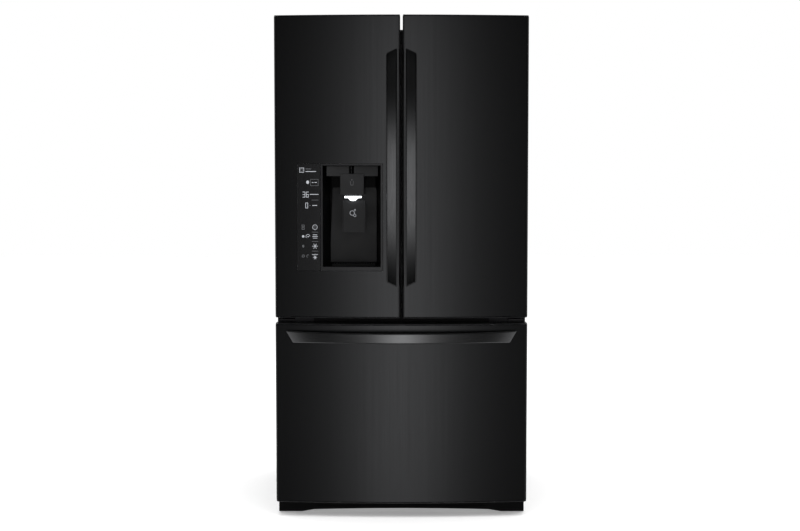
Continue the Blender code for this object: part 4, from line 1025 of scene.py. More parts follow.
class IconSheet:
    # shapes are drawn flat in x and z, then laid on a surface
    def __init__(self):
        self.bm = bmesh.new()

    def plate(self, points):
        addPrism(self.bm, points, 1, 0.0, 0.00035)

    def bar(self, x, z, width, height):
        self.plate([(x, z), (x + width, z), (x + width, z + height), (x, z + height)])

    def frame(self, x, z, width, height, line):
        self.bar(x, z, width, line)
        self.bar(x, z + height - line, width, line)
        self.bar(x, z + line, line, height - 2 * line)
        self.bar(x + width - line, z + line, line, height - 2 * line)

    def disc(self, x, z, radius, squash=1.0, steps=20):
        angles = [math.tau * k / steps for k in range(steps)]
        self.plate([(x + radius * math.cos(a), z + radius * squash * math.sin(a)) for a in angles])

    def ring(self, x, z, radius, line, start=0.0, end=1.0, steps=24):
        # an arc as short plates, from start to end of a full turn
        for k in range(steps):
            if not start <= k / steps < end:
                continue
            a, b = math.tau * k / steps, math.tau * (k + 1) / steps
            inner = radius - line
            self.plate([
                (x + radius * math.cos(a), z + radius * math.sin(a)),
                (x + radius * math.cos(b), z + radius * math.sin(b)),
                (x + inner * math.cos(b), z + inner * math.sin(b)),
                (x + inner * math.cos(a), z + inner * math.sin(a)),
            ])

    def star(self, x, z, radius, arms, line):
        for k in range(arms):
            angle = math.pi * k / arms
            across = Vector((-math.sin(angle), math.cos(angle))) * line / 2
            along = Vector((math.cos(angle), math.sin(angle))) * radius
            here = Vector((x, z))
            corners = ((-1, -1), (1, -1), (1, 1), (-1, 1))
            self.plate([tuple(here + s * along + t * across) for s, t in corners])

    def digit(self, x, z, height, lit):
        # seven bars, named a to g as on any display
        wide, line = height * 0.47, height * 0.09
        half = height / 2
        bars = {
            "a": (0, height - line, wide, line), "g": (0, half - line / 2, wide, line),
            "d": (0, 0, wide, line), "f": (0, half, line, half), "b": (wide - line, half, line, half),
            "e": (0, 0, line, half), "c": (wide - line, 0, line, half),
        }
        for key in lit:
            dx, dz, width, tall = bars[key]
            self.bar(x + dx, z + dz, width, tall)

    def finish(self, name, body, finish, surface):
        bmesh.ops.recalc_face_normals(self.bm, faces=self.bm.faces)
        for vert in self.bm.verts:
            vert.co.y = surface(vert.co) + 0.0001 - vert.co.y
        bmesh.ops.reverse_faces(self.bm, faces=self.bm.faces)
        mesh = bpy.data.meshes.new(name)
        self.bm.to_mesh(mesh)
        self.bm.free()
        return showPiece(name, mesh, body, finish)


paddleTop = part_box("dispenser_paddle")[1].z


def makeIcons():
    def onPanel(point):
        return frontY(point.x) - dispenser["proud"]

    left, top = bezelLow.x, bezelHigh.z
    bright, faint = IconSheet(), IconSheet()
    leftColumn, middleColumn, rightColumn = left + 0.0205, left + 0.0375, left + 0.0630
    # first row: a framed square and two lines
    bright.frame(left + 0.0080, top - 0.0315, 0.0165, 0.0170, 0.0016)
    faint.frame(left + 0.0115, top - 0.0280, 0.0095, 0.0100, 0.0018)
    faint.bar(left + 0.0300, top - 0.0200, 0.0200, 0.0024)
    bright.bar(left + 0.0300, top - 0.0290, 0.0375, 0.0024)
    # second row: a drop and a framed pair of lines
    bright.disc(middleColumn, top - 0.0660, 0.0050, 1.25)
    faint.frame(left + 0.0470, top - 0.0790, 0.0290, 0.0240, 0.0014)
    bright.bar(left + 0.0525, top - 0.0680, 0.0060, 0.0022)
    bright.bar(left + 0.0620, top - 0.0680, 0.0085, 0.0022)
    # set temperatures
    for k, lit in enumerate(("abcdg", "acdefg")):
        bright.digit(left + 0.0190 + k * 0.0125, top - 0.1200, 0.0200, lit)
    bright.bar(left + 0.0450, top - 0.1105, 0.0310, 0.0022)
    faint.bar(left + 0.0510, top - 0.1305, 0.0240, 0.0016)
    bright.digit(left + 0.0290, top - 0.1590, 0.0200, "abcdef")
    faint.bar(left + 0.0430, top - 0.1500, 0.0045, 0.0022)
    bright.bar(left + 0.0540, top - 0.1500, 0.0170, 0.0024)
    # lower rows: paired symbols with a line below each right one
    rows = [top - 0.2265, top - 0.2595, top - 0.2945, top - 0.3300]
    faint.frame(left + 0.0155, rows[0] - 0.0085, 0.0100, 0.0076, 0.0018)
    faint.frame(left + 0.0155, rows[0] + 0.0010, 0.0100, 0.0076, 0.0018)
    bright.ring(rightColumn, rows[0], 0.0092, 0.0014)
    faint.ring(rightColumn, rows[0], 0.0045, 0.0016)
    bright.disc(leftColumn, rows[1], 0.0044)
    bright.ring(middleColumn, rows[1], 0.0078, 0.0016, 0.0, 0.60)
    bright.disc(left + 0.0385, rows[1] - 0.0010, 0.0022)
    for k in (-1, 0, 1):
        shorter = 0.002 * abs(k)
        bright.bar(left + 0.0535 + shorter, rows[1] + k * 0.0060 - 0.0010, 0.0195 - 2 * shorter, 0.0019)
    faint.disc(leftColumn, rows[2], 0.0036, 1.45)
    bright.star(rightColumn, rows[2], 0.0100, 3, 0.0018)
    faint.ring(rightColumn, rows[2], 0.0060, 0.0014)
    faint.ring(leftColumn, rows[3], 0.0052, 0.0020)
    faint.ring(middleColumn, rows[3], 0.0056, 0.0020, 0.1, 0.7)
    bright.bar(left + 0.0520, rows[3] + 0.0050, 0.0210, 0.0018)
    bright.star(rightColumn, rows[3] - 0.0045, 0.0072, 3, 0.0018)
    for z in rows[:3]:
        faint.bar(left + 0.0515, z - 0.0185, 0.0230, 0.0015)
    bright.finish("touch_panel_icons", "left_door", "iconPrint", onPanel)
    faint.finish("touch_panel_marks", "left_door", "iconFaint", onPanel)

    # a glass on the housing and bubbles on the paddle
    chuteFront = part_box("dispenser_chute")[0].y + 0.0002
    drop = IconSheet()
    x, z = dispenser["windowLow"].x + 0.1043, dispenser["windowHigh"].z - 0.070
    for side in (-1, 1):
        corners = ((0.0046, 0), (0.0034, 0), (0.0050, 0.0150), (0.0062, 0.0150))
        drop.plate([(x + side * across, z + up) for across, up in corners])
    drop.bar(x - 0.0046, z, 0.0092, 0.0014)
    drop.bar(x - 0.0012, z + 0.0170, 0.0024, 0.0050)
    drop.finish("chute_symbol", "left_door", "iconFaint", lambda point: chuteFront)
    bubbles = IconSheet()
    x, z = dispenser["windowLow"].x + 0.1060, paddleTop - 0.0460
    bubbles.ring(x - 0.0020, z, 0.0088, 0.0014)
    bubbles.ring(x + 0.0070, z - 0.0085, 0.0052, 0.0011)
    bubbles.ring(x + 0.0080, z + 0.0110, 0.0030, 0.0011)
    # the bubbles take the glowing icon finish, though they are a print on the paddle and no lamp: painted
    # light
    bubbles.finish("paddle_symbol", "paddle", "iconPrint", lambda point: paddleFace(point.z))


def paddleFace(z):
    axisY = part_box("dispenser_paddle")[1].y - 0.004
    return axisY - 0.0030 - 0.0030 * (paddleTop - 0.0005 - z) / 0.0445 - 0.0004


makeIcons()
print("dispenser made")

# ---- door backs, gaskets, bins


def makeGasket(node, body):
    # bellows and magnet bulb, with mitred corners: (distance inward, share of the depth)
    low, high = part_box(node)
    depth = high.y - low.y
    profile = [
        (0.0020, 0.0), (0.0145, 0.0), (0.0155, 0.06), (0.0150, 0.16), (0.0118, 0.24), (0.0108, 0.36),
        (0.0128, 0.46), (0.0150, 0.56), (0.0160, 0.70), (0.0160, 0.92), (0.0150, 1.0), (0.0014, 1.0),
        (0.0002, 0.93), (0.0, 0.70), (0.0012, 0.56), (0.0040, 0.46), (0.0058, 0.36), (0.0044, 0.24),
        (0.0012, 0.16), (0.0006, 0.06),
    ]
    rings = []
    for cornerX, cornerZ in ((0, 0), (1, 0), (1, 1), (0, 1), (0, 0)):
        ring = []
        for inward, share in profile:
            x = high.x - inward if cornerX else low.x + inward
            z = high.z - inward if cornerZ else low.z + inward
            ring.append((x, low.y + depth * share, z))
        rings.append(ring)
    bm = bmesh.new()
    addLoft(bm, rings)
    bmesh.ops.remove_doubles(bm, verts=bm.verts, dist=1e-6)
    bmesh.ops.recalc_face_normals(bm, faces=bm.faces)
    makePiece(node + "_bellows", bm, body, "gasketRubber", (node,), sharp=60)


panels = (("left_door", "left_door"), ("right_door", "right_door"), ("drawer", "freezer_drawer"))
for panel, body in panels:
    makeGasket(f"{panel}_gasket", body)


def makeGapShadeLips():
    # a dark rubber lip on each door's inner edge, put in the space between the doors to stand for the shade
    # there: painted shade
    bottom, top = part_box("left_door_skin")[0].z + 0.004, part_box("cabinet_wrapper")[1].z - 0.004
    front, back, between = rearY - 0.0180, rearY - 0.0165, 0.0004
    for sideName, side in (("left", -1), ("right", 1)):
        edge = min(abs(v.x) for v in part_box(f"{sideName}_door_skin"))
        boxPiece(f"{sideName}_gap_shade_lip", f"{sideName}_door", "gasketRubber", [
            ((side * between, front, bottom), (side * (edge + 0.0010), back, top)),
        ], bevel=0.0003, segments=1)


makeGapShadeLips()


def makeBackFrame(node, gasket, body):
    # the dark border of a door's back, outside its gasket
    low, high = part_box(node)
    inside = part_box(gasket)
    side = 1 if low.x + high.x > 0 else -1
    notched = node != "drawer_liner"
    notch = (halfWidth - hingeNotch["inner"] - 0.0025, hingeNotch["floor"] - 0.0010)
    xStops = {low.x + 0.0006, high.x - 0.0006, inside[0].x, inside[1].x}
    zStops = {low.z + 0.0006, high.z - 0.0006, inside[0].z, inside[1].z}
    if notched:
        xStops.add(side * notch[0])
        zStops.add(notch[1])

    def skip(middle):
        if inside[0].x < middle.x < inside[1].x and inside[0].z < middle.z < inside[1].z:
            return True
        return notched and middle.x * side > notch[0] and middle.z > notch[1]

    y = rearY + 0.0009
    rings = [[(x, y, z) for x in sorted(xStops)] for z in sorted(zStops)]
    bm = bmesh.new()
    addLoft(bm, rings, closed=False, skip=skip)
    if next(iter(bm.faces)).normal.y < 0:
        bmesh.ops.reverse_faces(bm, faces=bm.faces)
    makePiece(node.replace("liner", "back_border"), bm, body, "satinBlack", wall=0.0008, sharp=50)


def makeNotchLining(sideName, side):
    # thin dark walls inside the notch for the hinge
    inner, outer = side * (halfWidth - hingeNotch["inner"]), side * (halfWidth - 0.0020)
    thin, low, high = 0.0002, hingeNotch["floor"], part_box(f"{sideName}_door_liner")[1].z - panelSizes["cap"]
    front = hingeNotch["wall"]
    boxPiece(f"{sideName}_notch_lining", f"{sideName}_door", "satinBlack", [
        ((inner, front + thin, low), (inner + side * thin, rearY, high)),
        ((inner, front, low), (outer, front + thin, high)),
        ((inner, front, low), (outer, rearY, low + thin)),
    ])


makeNotchLining("left", -1)
makeNotchLining("right", 1)
for panel, body in panels:
    makeBackFrame(f"{panel}_liner", f"{panel}_gasket", body)


def linerCopy(node, body):
    # white inside, and black where its end caps and front edges show
    def cutCaps(bm):
        low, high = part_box(node)
        cap = panelSizes["cap"]
        for z, normal in ((low.z + cap, (0, 0, 1)), (high.z - cap, (0, 0, -1))):
            geometry = bm.verts[:] + bm.edges[:] + bm.faces[:]
            bmesh.ops.bisect_plane(
                bm, geom=geometry, plane_co=(0, 0, z), plane_no=normal, clear_inner=True
            )
        bmesh.ops.holes_fill(bm, edges=[e for e in bm.edges if e.is_boundary], sides=0)

    softenedCopy(node, body, "whiteLiner", 0.0028, edit=cutCaps)
    makeCaps(node, body)


for panel, body in panels:
    linerCopy(f"{panel}_liner", body)


binSizes = {"band": 0.026, "ribs": 9, "ribsIn": 0.03, "rib": (0.0022, 0.0018)}


def makeBin(node, body):
    # a clear bin with a satin band along the top of its front, and ribs on its floor
    low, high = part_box(node)
    softenedCopy(node, body, "clearBin", 0.0022)
    boxPiece(node + "_band", body, "trimGrey", [(
        (low.x + 0.0015, high.y - 0.0026, high.z - binSizes["band"]),
        (high.x - 0.0015, high.y + 0.0004, high.z + 0.0006),
    )], bevel=0.0009)
    ribs, inward, (thin, tall) = binSizes["ribs"], binSizes["ribsIn"], binSizes["rib"]
    growSlats(
        node + "_ribs", body, "clearBin", ribs, (low.x + inward, (low.y + high.y) / 2, low.z + 0.0034),
        ((high.x - low.x - 2 * inward) / (ribs - 1), 0, 0), (thin, high.y - low.y - 0.012, tall),
    )


for node, body in (
    ("left_door_bin", "left_door"), ("right_upper_bin", "right_door"), ("right_lower_bin", "right_door")
):
    makeBin(node, body)


def makeIceCover():
    low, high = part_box("ice_compartment_cover")
    middle, gripHalf = (low.z + high.z) / 2, 0.055
    softenedCopy("ice_compartment_cover", "ice_cover", "whiteLiner", 0.0025, 3)
    platePiece(
        "ice_cover_grip", "ice_cover", "trimGrey", (high.x - 0.040, high.x - 0.014),
        (middle - gripHalf, middle + gripHalf), 0.008, (high.y - 0.0008, high.y + 0.0022), bevel=0.0008,
    )
    growSlats(
        "ice_cover_vents", "ice_cover", "trimGrey", 9,
        ((low.x + high.x) / 2 - 0.04, high.y, high.z - 0.115), (0, 0, 0.0095), (0.150, 0.0016, 0.0040),
    )


makeIceCover()
softenedCopy("mullion_flap", "mullion_flap", "mouldedBlack", 0.0016)
print("door backs made")

# ---- cabinet outside

cabinetSizes = {
    "fold": 0.005,        # radius of the wrapper's two top folds
    "sheet": 0.0012,
    "hem": 0.011,         # folded edges that show behind
    "hemSheet": 0.0011,
    "trimIn": 0.105,      # top trim: from each side, its depth and its height
    "trimDepth": 0.028,
    "trimRise": 0.0055,
}


def makeWrapper():
    low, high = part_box("cabinet_wrapper")
    fold, sheet, hem = (cabinetSizes[key] for key in ("fold", "sheet", "hem"))
    thin, slit, foldSteps = cabinetSizes["hemSheet"], 0.0002, 6

    def outline(inset):
        radius = fold - inset
        points = [(low.x + inset, low.z)]
        for centreX, start in ((low.x + fold, 180), (high.x - fold, 90)):
            for step in range(foldSteps + 1):
                angle = math.radians(start - 90 * step / foldSteps)
                points.append((centreX + radius * math.cos(angle), high.z - fold + radius * math.sin(angle)))
        return points + [(high.x - inset, low.z)]

    # the front edge is slightly rounded in
    stations = ((low.y, 0.0012), (low.y + 0.0004, 0.0004), (low.y + 0.0012, 0.0), (high.y, 0.0))
    bm = bmesh.new()
    addLoft(bm, [[(x, y, z) for x, z in outline(inset)] for y, inset in stations], closed=False)
    top = max(bm.faces, key=lambda f: f.calc_center_median().z + f.calc_area())
    if top.normal.z < 0:
        bmesh.ops.reverse_faces(bm, faces=bm.faces)
    makePiece(
        "cabinet_wrapper_sheet", bm, "cabinet", "cabinetPaint", ("cabinet_wrapper",), wall=sheet, sharp=50
    )

    outer, near, far = high.x - sheet - slit, high.y - thin - 0.0001, high.y - 0.0001
    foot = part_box("base_frame")[1].z + 0.004
    hems = [
        ((side * outer, near, foot), (side * (high.x - sheet - hem), far, high.z - fold)) for side in (-1, 1)
    ]
    hems.append(((low.x + fold, near, high.z - sheet - hem), (high.x - fold, far, high.z - sheet - slit)))
    boxPiece("cabinet_rear_hems", "cabinet", "cabinetPaint", hems, bevel=0.0003, segments=1)
    inward = cabinetSizes["trimIn"]
    front, back = casePlane + 0.0015, casePlane + cabinetSizes["trimDepth"]
    boxPiece("cabinet_top_trim", "cabinet", "mouldedBlack", [
        ((low.x + inward, front, high.z - slit), (high.x - inward, back, high.z + cabinetSizes["trimRise"])),
    ], bevel=0.0024)


makeWrapper()
# the face frame takes the darker, duller paint that stands for the shade in the gaps: painted shade
softenedCopy("face_frame", "cabinet", "frameShadePaint", 0.0004, 1)

rearPanelSizes = {
    "sheet": 0.0010,
    "ground": 0.0016,     # how far the flat lies inside the node's back face
    "pressings": 3,
    "pressedIn": 0.075,   # from the panel's side to a pressing's
    "pressedRound": 0.030,
    "label": (0.150, 0.095),
    "labelIn": (0.30, 0.24),
    "labelLines": 7,
    "screwIn": 0.022,
    "screwRows": 9,
    "screwColumns": 5,
}
facingBack = (-math.pi / 2, 0, 0)
facingFront = (math.pi / 2, 0, 0)


def makeRearPanel():
    low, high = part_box("rear_panel")
    sizes = rearPanelSizes
    ground, count, gap = high.y - sizes["ground"], sizes["pressings"], 0.015
    boxPiece("rear_panel_sheet", "cabinet", "zincSheet", [
        ((low.x + 0.0005, ground - sizes["sheet"], low.z), (high.x - 0.0005, ground, high.z - 0.0005)),
    ], ("rear_panel",), bevel=0.0002, segments=1)
    pressed = bmesh.new()
    tall = (high.z - low.z - 0.10) / count
    width = (low.x + sizes["pressedIn"], high.x - sizes["pressedIn"])
    for k in range(count):
        zLow = low.z + 0.035 + k * (tall + gap)
        depth = (ground - 0.0004, ground + 0.0010)
        addRoundPlate(pressed, width, (zLow, zLow + tall), sizes["pressedRound"], depth)
    makePiece("rear_panel_pressings", pressed, "cabinet", "zincSheet", bevel=0.0009)

    # a blank label with plain bars where the writing would be
    x, z = high.x - sizes["labelIn"][0], high.z - sizes["labelIn"][1]
    wide, tall = sizes["label"]
    platePiece(
        "rear_label", "cabinet", "whiteLiner", (x, x + wide), (z, z + tall), 0.004,
        (ground + 0.0010, ground + 0.0013), sharp=50,
    )
    growSlats(
        "rear_label_lines", "cabinet", "mouldedGrey", sizes["labelLines"],
        (x + 0.066, ground + 0.0013, z + 0.016), (0, 0, 0.0105), (0.108, 0.0003, 0.0026),
    )

    inward, level = sizes["screwIn"], ground + 0.0006
    bottom, top = low.z + 0.018, high.z - 0.03
    points = []
    for z in spread(bottom, top, sizes["screwRows"]):
        points += [(low.x + inward, level, z), (high.x - inward, level, z)]
    for x in spread(low.x + inward, high.x - inward, sizes["screwColumns"])[1:-1]:
        points += [(x, level, top), (x, level, bottom)]
    growScrews("rear_panel_screws", points, 0.0044, 0.0008, facingBack)


makeRearPanel()

machineCoverSizes = {
    "ground": 0.0020,
    "columns": 3,
    "rows": 11,
    "wide": 0.190,        # one column of slots
    "slot": 0.0062,
    "pitch": 0.0140,
    "louvre": (0.0012, 0.0085),
    "lean": -38,          # degrees
}


def makeMachineCover():
    # a plate of slots in three columns, with a leaning louvre behind each slot
    low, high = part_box("machine_cover")
    sizes = machineCoverSizes
    ground = high.y - sizes["ground"]
    columns, rows, wide, slot, pitch = (sizes[key] for key in ("columns", "rows", "wide", "slot", "pitch"))
    gap = (high.x - low.x - columns * wide) / (columns + 1)
    starts = [low.x + gap + column * (wide + gap) for column in range(columns)]
    zBase = (low.z + high.z) / 2 - (rows - 1) * pitch / 2
    across = [(x, x + wide) for x in starts]
    upright = [(zBase + row * pitch - slot / 2, zBase + row * pitch + slot / 2) for row in range(rows)]
    xStops = [low.x] + [x for pair in across for x in pair] + [high.x]
    zStops = [low.z] + [z for pair in upright for z in pair] + [high.z]

    def skip(middle):
        inX = any(a < middle.x < b for a, b in across)
        return inX and any(a < middle.z < b for a, b in upright)

    bm = bmesh.new()
    addLoft(bm, [[(x, ground, z) for x in xStops] for z in zStops], closed=False, skip=skip)
    if next(iter(bm.faces)).normal.y < 0:
        bmesh.ops.reverse_faces(bm, faces=bm.faces)
    makePiece("machine_cover_plate", bm, "cabinet", "mouldedBlack", ("machine_cover",), wall=0.0018, sharp=50)
    growSlats(
        "machine_cover_louvres", "cabinet", "mouldedBlack", rows,
        (low.x + gap + wide / 2, ground - 0.0022, zBase), (0, 0, pitch), (wide + 0.001, *sizes["louvre"]),
        columns=columns, columnStep=(wide + gap, 0, 0), turn=(math.radians(sizes["lean"]), 0, 0),
    )
    xs, zs = (low.x + 0.012, high.x - 0.012, (low.x + high.x) / 2), (low.z + 0.010, high.z - 0.008)
    points = [(x, ground + 0.0005, z) for x in xs for z in zs]
    growScrews("machine_cover_screws", points, 0.0042, 0.0010, facingBack)


makeMachineCover()


def makeHinges(sideName, side):
    softenedCopy(f"{sideName}_top_hinge", "cabinet", "zincPlate", 0.0006)
    cover = f"{sideName}_hinge_cover"
    softenedCopy(cover, "cabinet", "mouldedBlack", 0.0045, 4)
    low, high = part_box(cover)
    screw = ((low.x + high.x) / 2, casePlane + 0.064, high.z + 0.0003)
    growScrews(f"{cover}_screw", [screw], 0.0048, 0.0016)
    node = f"{sideName}_middle_hinge"
    softenedCopy(node, "cabinet", "hingeSteel", 0.0005)
    low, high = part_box(node)
    outer, fromPin = max(abs(low.x), abs(high.x)), (0.110, 0.084)
    points = [(side * (outer - x), casePlane - 0.0036, (low.z + high.z) / 2) for x in fromPin]
    growScrews(f"{node}_screws", points, 0.0050, 0.0016, facingFront, "hingeSteel")


for sideName, side in (("left", -1), ("right", 1)):
    makeHinges(sideName, side)

grilleSizes = {"rows": 4, "rise": 0.0190, "pitch": 0.0070, "slat": (0.62, 0.0018, 0.0022), "lean": -25}


def makeGrille():
    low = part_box("base_grille")[0]
    # the grille and its slats take the extra dark black that stands for the shade under the drawer: painted
    # shade
    softenedCopy("base_grille", "cabinet", "recessShadeBlack", 0.0012)
    growSlats(
        "base_grille_slats", "cabinet", "recessShadeBlack", grilleSizes["rows"],
        (0, low.y - 0.0002, low.z + grilleSizes["rise"]), (0, 0, grilleSizes["pitch"]), grilleSizes["slat"],
        turn=(math.radians(grilleSizes["lean"]), 0, 0),
    )


makeGrille()
softenedCopy("base_frame", "cabinet", "zincSheet", 0.0004, 1)

footSizes = {
    "collar": 0.0215,     # the thread starts this far above the floor
    "turns": 22,
    "threadRoot": 0.0054,
    "threadCrest": 0.0060,
    "axle": 0.004,
    "axleProud": 0.0045,  # how far an axle stands out of its roller
    "hub": 0.010,
    "web": 0.0175,        # the flat side of a roller ends here
}


def makeLeg(node, body):
    low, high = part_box(node)
    sizes, top, chamfer = footSizes, high.z - low.z, 0.0020
    profile = [
        (0, 0), (0.0155, 0), (0.0172, 0.0006), (0.0180, 0.0022), (0.0180, 0.0085), (0.0172, 0.0098),
        (0.0120, 0.0108), (0.0108, 0.0112), (0.0108, 0.0198), (0.0100, 0.0208), (0.0060, 0.0212),
    ]
    pitch = (top - chamfer - sizes["collar"]) / sizes["turns"]
    for k in range(sizes["turns"]):
        z = sizes["collar"] + pitch * k
        profile += [(sizes["threadRoot"], z), (sizes["threadCrest"], z + pitch / 2)]
    profile += [(0.0050, top), (0, top)]
    bm = bmesh.new()
    addTurned(bm, profile, ((low.x + high.x) / 2, (low.y + high.y) / 2, low.z), (0, 0, 1), 36)
    makePiece(node + "_stud", bm, body, "zincPlate", (node,), sharp=35)


def makeRoller(node, body):
    low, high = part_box(node)
    axle, proud, hub, web = (footSizes[key] for key in ("axle", "axleProud", "hub", "web"))
    radius, half = (high.z - low.z) / 2, (high.x - low.x) / 2 - proud
    outward = [
        (0, half + proud), (axle, half + proud), (axle, half - 0.002), (hub - 0.001, half - 0.002),
        (hub, half), (web, half), (radius - 0.0006, half - 0.0012), (radius, half - 0.003),
    ]
    profile = [(r, -height) for r, height in outward] + outward[::-1]
    bm = bmesh.new()
    addTurned(bm, profile, (low + high) / 2, (1, 0, 0), 48)
    makePiece(node + "_wheel", bm, body, "mouldedBlack", (node,), sharp=35)


for sideName in ("left", "right"):
    makeLeg(f"{sideName}_levelling_leg", f"{sideName}_leg")
    makeRoller(f"{sideName}_rear_roller", f"{sideName}_roller")

machineRoom = {
    "shellRadius": 0.074,
    "fins": 60,
    "passes": 5,          # of the condenser's tube in each of its two layers
    "layers": 2,
    "layerStep": 0.06,
    "tube": 0.0030,
}


def makeCompressor():
    low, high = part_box("compressor")
    # the lower shell, the welded lip and the domed lid
    widest = machineRoom["shellRadius"]
    profile = [
        (0, 0), (0.058, 0), (0.068, 0.004), (0.0725, 0.014), (widest, 0.030), (widest, 0.072),
        (widest, 0.074), (widest, 0.080), (widest, 0.082), (0.0738, 0.100), (0.071, 0.120),
        (0.064, 0.136), (0.052, 0.148), (0.034, 0.156), (0.016, 0.160), (0, 0.161),
    ]
    bm = bmesh.new()
    addTurned(bm, profile, ((low.x + high.x) / 2, (low.y + high.y) / 2, low.z), (0, 0, 1), 48)
    makePiece("compressor_shell", bm, "cabinet", "compressorEnamel", ("compressor",), sharp=50)


def makeCondenser():
    low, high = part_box("condenser")
    fins, passes, layers = (machineRoom[key] for key in ("fins", "passes", "layers"))
    growSlats(
        "condenser_fins", "cabinet", "zincSheet", fins,
        (low.x + 0.002, (low.y + high.y) / 2, (low.z + high.z) / 2),
        ((high.x - low.x - 0.004) / (fins - 1), 0, 0),
        (0.0005, high.y - low.y - 0.006, high.z - low.z - 0.004), stands=("condenser",),
    )
    points, edges = [], []
    end, edge = 0.0045, 0.018
    for layer in range(layers):
        y = low.y + 0.035 + layer * machineRoom["layerStep"]
        for k in range(passes):
            z = low.z + edge + k * (high.z - low.z - 2 * edge) / (passes - 1)
            ends = (low.x + end, high.x - end)[:: 1 if k % 2 == 0 else -1]
            points += [(x, y, z) for x in ends]
        first = layer * passes * 2
        edges += [(first + k, first + k + 1) for k in range(passes * 2 - 1)]
    growPiece(
        "condenser_tube", "tube", {"Radius": machineRoom["tube"], "Bend": 0.004}, "cabinet", "copperTube",
        points=points, edges=edges,
    )


makeCompressor()
for node, body, finishName, bevel, segments in (
    ("drain_pan", "cabinet", "mouldedBlack", 0.0012, 2),
    ("water_valve", "cabinet", "whiteLiner", 0.0014, 2),
    ("condenser_fan", "fan", "mouldedBlack", 0.0008, 1),
):
    softenedCopy(node, body, finishName, bevel, segments)
makeCondenser()
keepNode("insulation_body", "foamBlock")
print("cabinet made")

# ---- fresh food space

freshSizes = {
    "linerWall": 0.003,
    "ductHalf": 0.095,
    "ductDepth": 0.020,
    "ductVents": 7,
    "ventStep": 0.060,
    "lowerLedge": 0.16,   # between a side's two ledges
    "ledgeDepth": 0.011,
    "ribs": 5,
    "ribStep": 0.018,
    "ribLength": 0.42,
    "lampHalf": 0.17,
    "lampDepth": 0.05,
}


def makeFreshFood():
    softenedCopy("fresh_food_liner", "cabinet", "whiteLiner", 0.0045, 3)
    low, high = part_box("fresh_food_liner")
    sizes, wall, gap = freshSizes, freshSizes["linerWall"], 0.0002
    half, floor, ceiling, back = high.x - wall, low.z + wall, high.z - wall, high.y - wall
    ductHalf, ductFront = sizes["ductHalf"], back - sizes["ductDepth"]
    platePiece(
        "air_duct", "cabinet", "whiteLiner", (-ductHalf, ductHalf), (floor + 0.32, ceiling - 0.03), 0.018,
        (ductFront, back - gap), bevel=0.004,
    )
    growSlats(
        "air_duct_vents", "cabinet", "trimGrey", sizes["ductVents"], (-0.045, ductFront - gap, floor + 0.42),
        (0, 0, sizes["ventStep"]), (0.055, 0.0014, 0.012), columns=2, columnStep=(0.090, 0, 0),
    )
    for sideName, side in (("left", -1), ("right", 1)):
        shelfLow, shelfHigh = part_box(f"{sideName}_glass_shelf")
        inner = half - sizes["ledgeDepth"]
        boxPiece(f"{sideName}_shelf_ledges", "cabinet", "whiteLiner", [
            ((side * half, shelfLow.y + 0.01, z - 0.0105), (side * inner, shelfHigh.y, z - 0.0008))
            for z in (shelfLow.z, shelfLow.z + side * sizes["lowerLedge"])
        ], bevel=0.0025)
        growSlats(
            f"{sideName}_wall_ribs", "cabinet", "whiteLiner", sizes["ribs"],
            (side * (half - 0.0006), (shelfLow.y + shelfHigh.y) / 2, shelfLow.z + 0.045),
            (0, 0, sizes["ribStep"]), (0.0022, sizes["ribLength"], 0.0035),
        )
    lampFront = casePlane + 0.11
    platePiece(
        "ceiling_lamp_lens", "cabinet", "lampLens", (-sizes["lampHalf"], sizes["lampHalf"]),
        (lampFront, lampFront + sizes["lampDepth"]), 0.018, (ceiling - 0.0055, ceiling - gap),
        axis=2, bevel=0.0018,
    )


makeFreshFood()

shelfSizes = {
    "front": 0.017, "rear": 0.014, "side": 0.010,    # widths of the moulded edge
    "paneLow": 0.0042, "paneHigh": 0.0084,
    "slit": 0.0002,
}


def makeShelf(sideName):
    node = f"{sideName}_glass_shelf"
    low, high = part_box(node)
    front, rear, edge, slit = (shelfSizes[key] for key in ("front", "rear", "side", "slit"))
    paneLow, paneHigh = low.z + shelfSizes["paneLow"], low.z + shelfSizes["paneHigh"]
    boxPiece(f"{sideName}_shelf_pane", "cabinet", "shelfGlass", [
        ((low.x + 0.004, low.y + 0.006, paneLow), (high.x - 0.004, high.y - 0.006, paneHigh)),
    ], bevel=0.0008, segments=2)
    boxes = [
        (low, (high.x, low.y + front, high.z)),
        ((low.x, high.y - rear, low.z), (high.x, high.y, high.z - 0.001)),
    ]
    for x in (low.x, high.x - edge):
        boxes.append((
            (x, low.y + front + slit, low.z), (x + edge, high.y - rear - slit, high.z - 0.0015)
        ))
    boxPiece(f"{sideName}_shelf_trim", "cabinet", "whiteLiner", boxes, (node,), bevel=0.0022)
    boxPiece(f"{sideName}_shelf_strip", "cabinet", "zincPlate", [
        ((low.x + 0.002, low.y - 0.0006, low.z + 0.0022), (high.x - 0.002, low.y + 0.0018, high.z - 0.0022)),
    ], bevel=0.0005, segments=2)


makeShelf("left")
makeShelf("right")

crisperSizes = {
    "gripShare": 0.58,    # of half the drawer's width
    "gripLow": 0.0205,    # below the drawer's top
    "gripHigh": 0.0105,
    "ribs": 4,
    "ribStep": 0.012,
    "ribShare": 1.5,
}


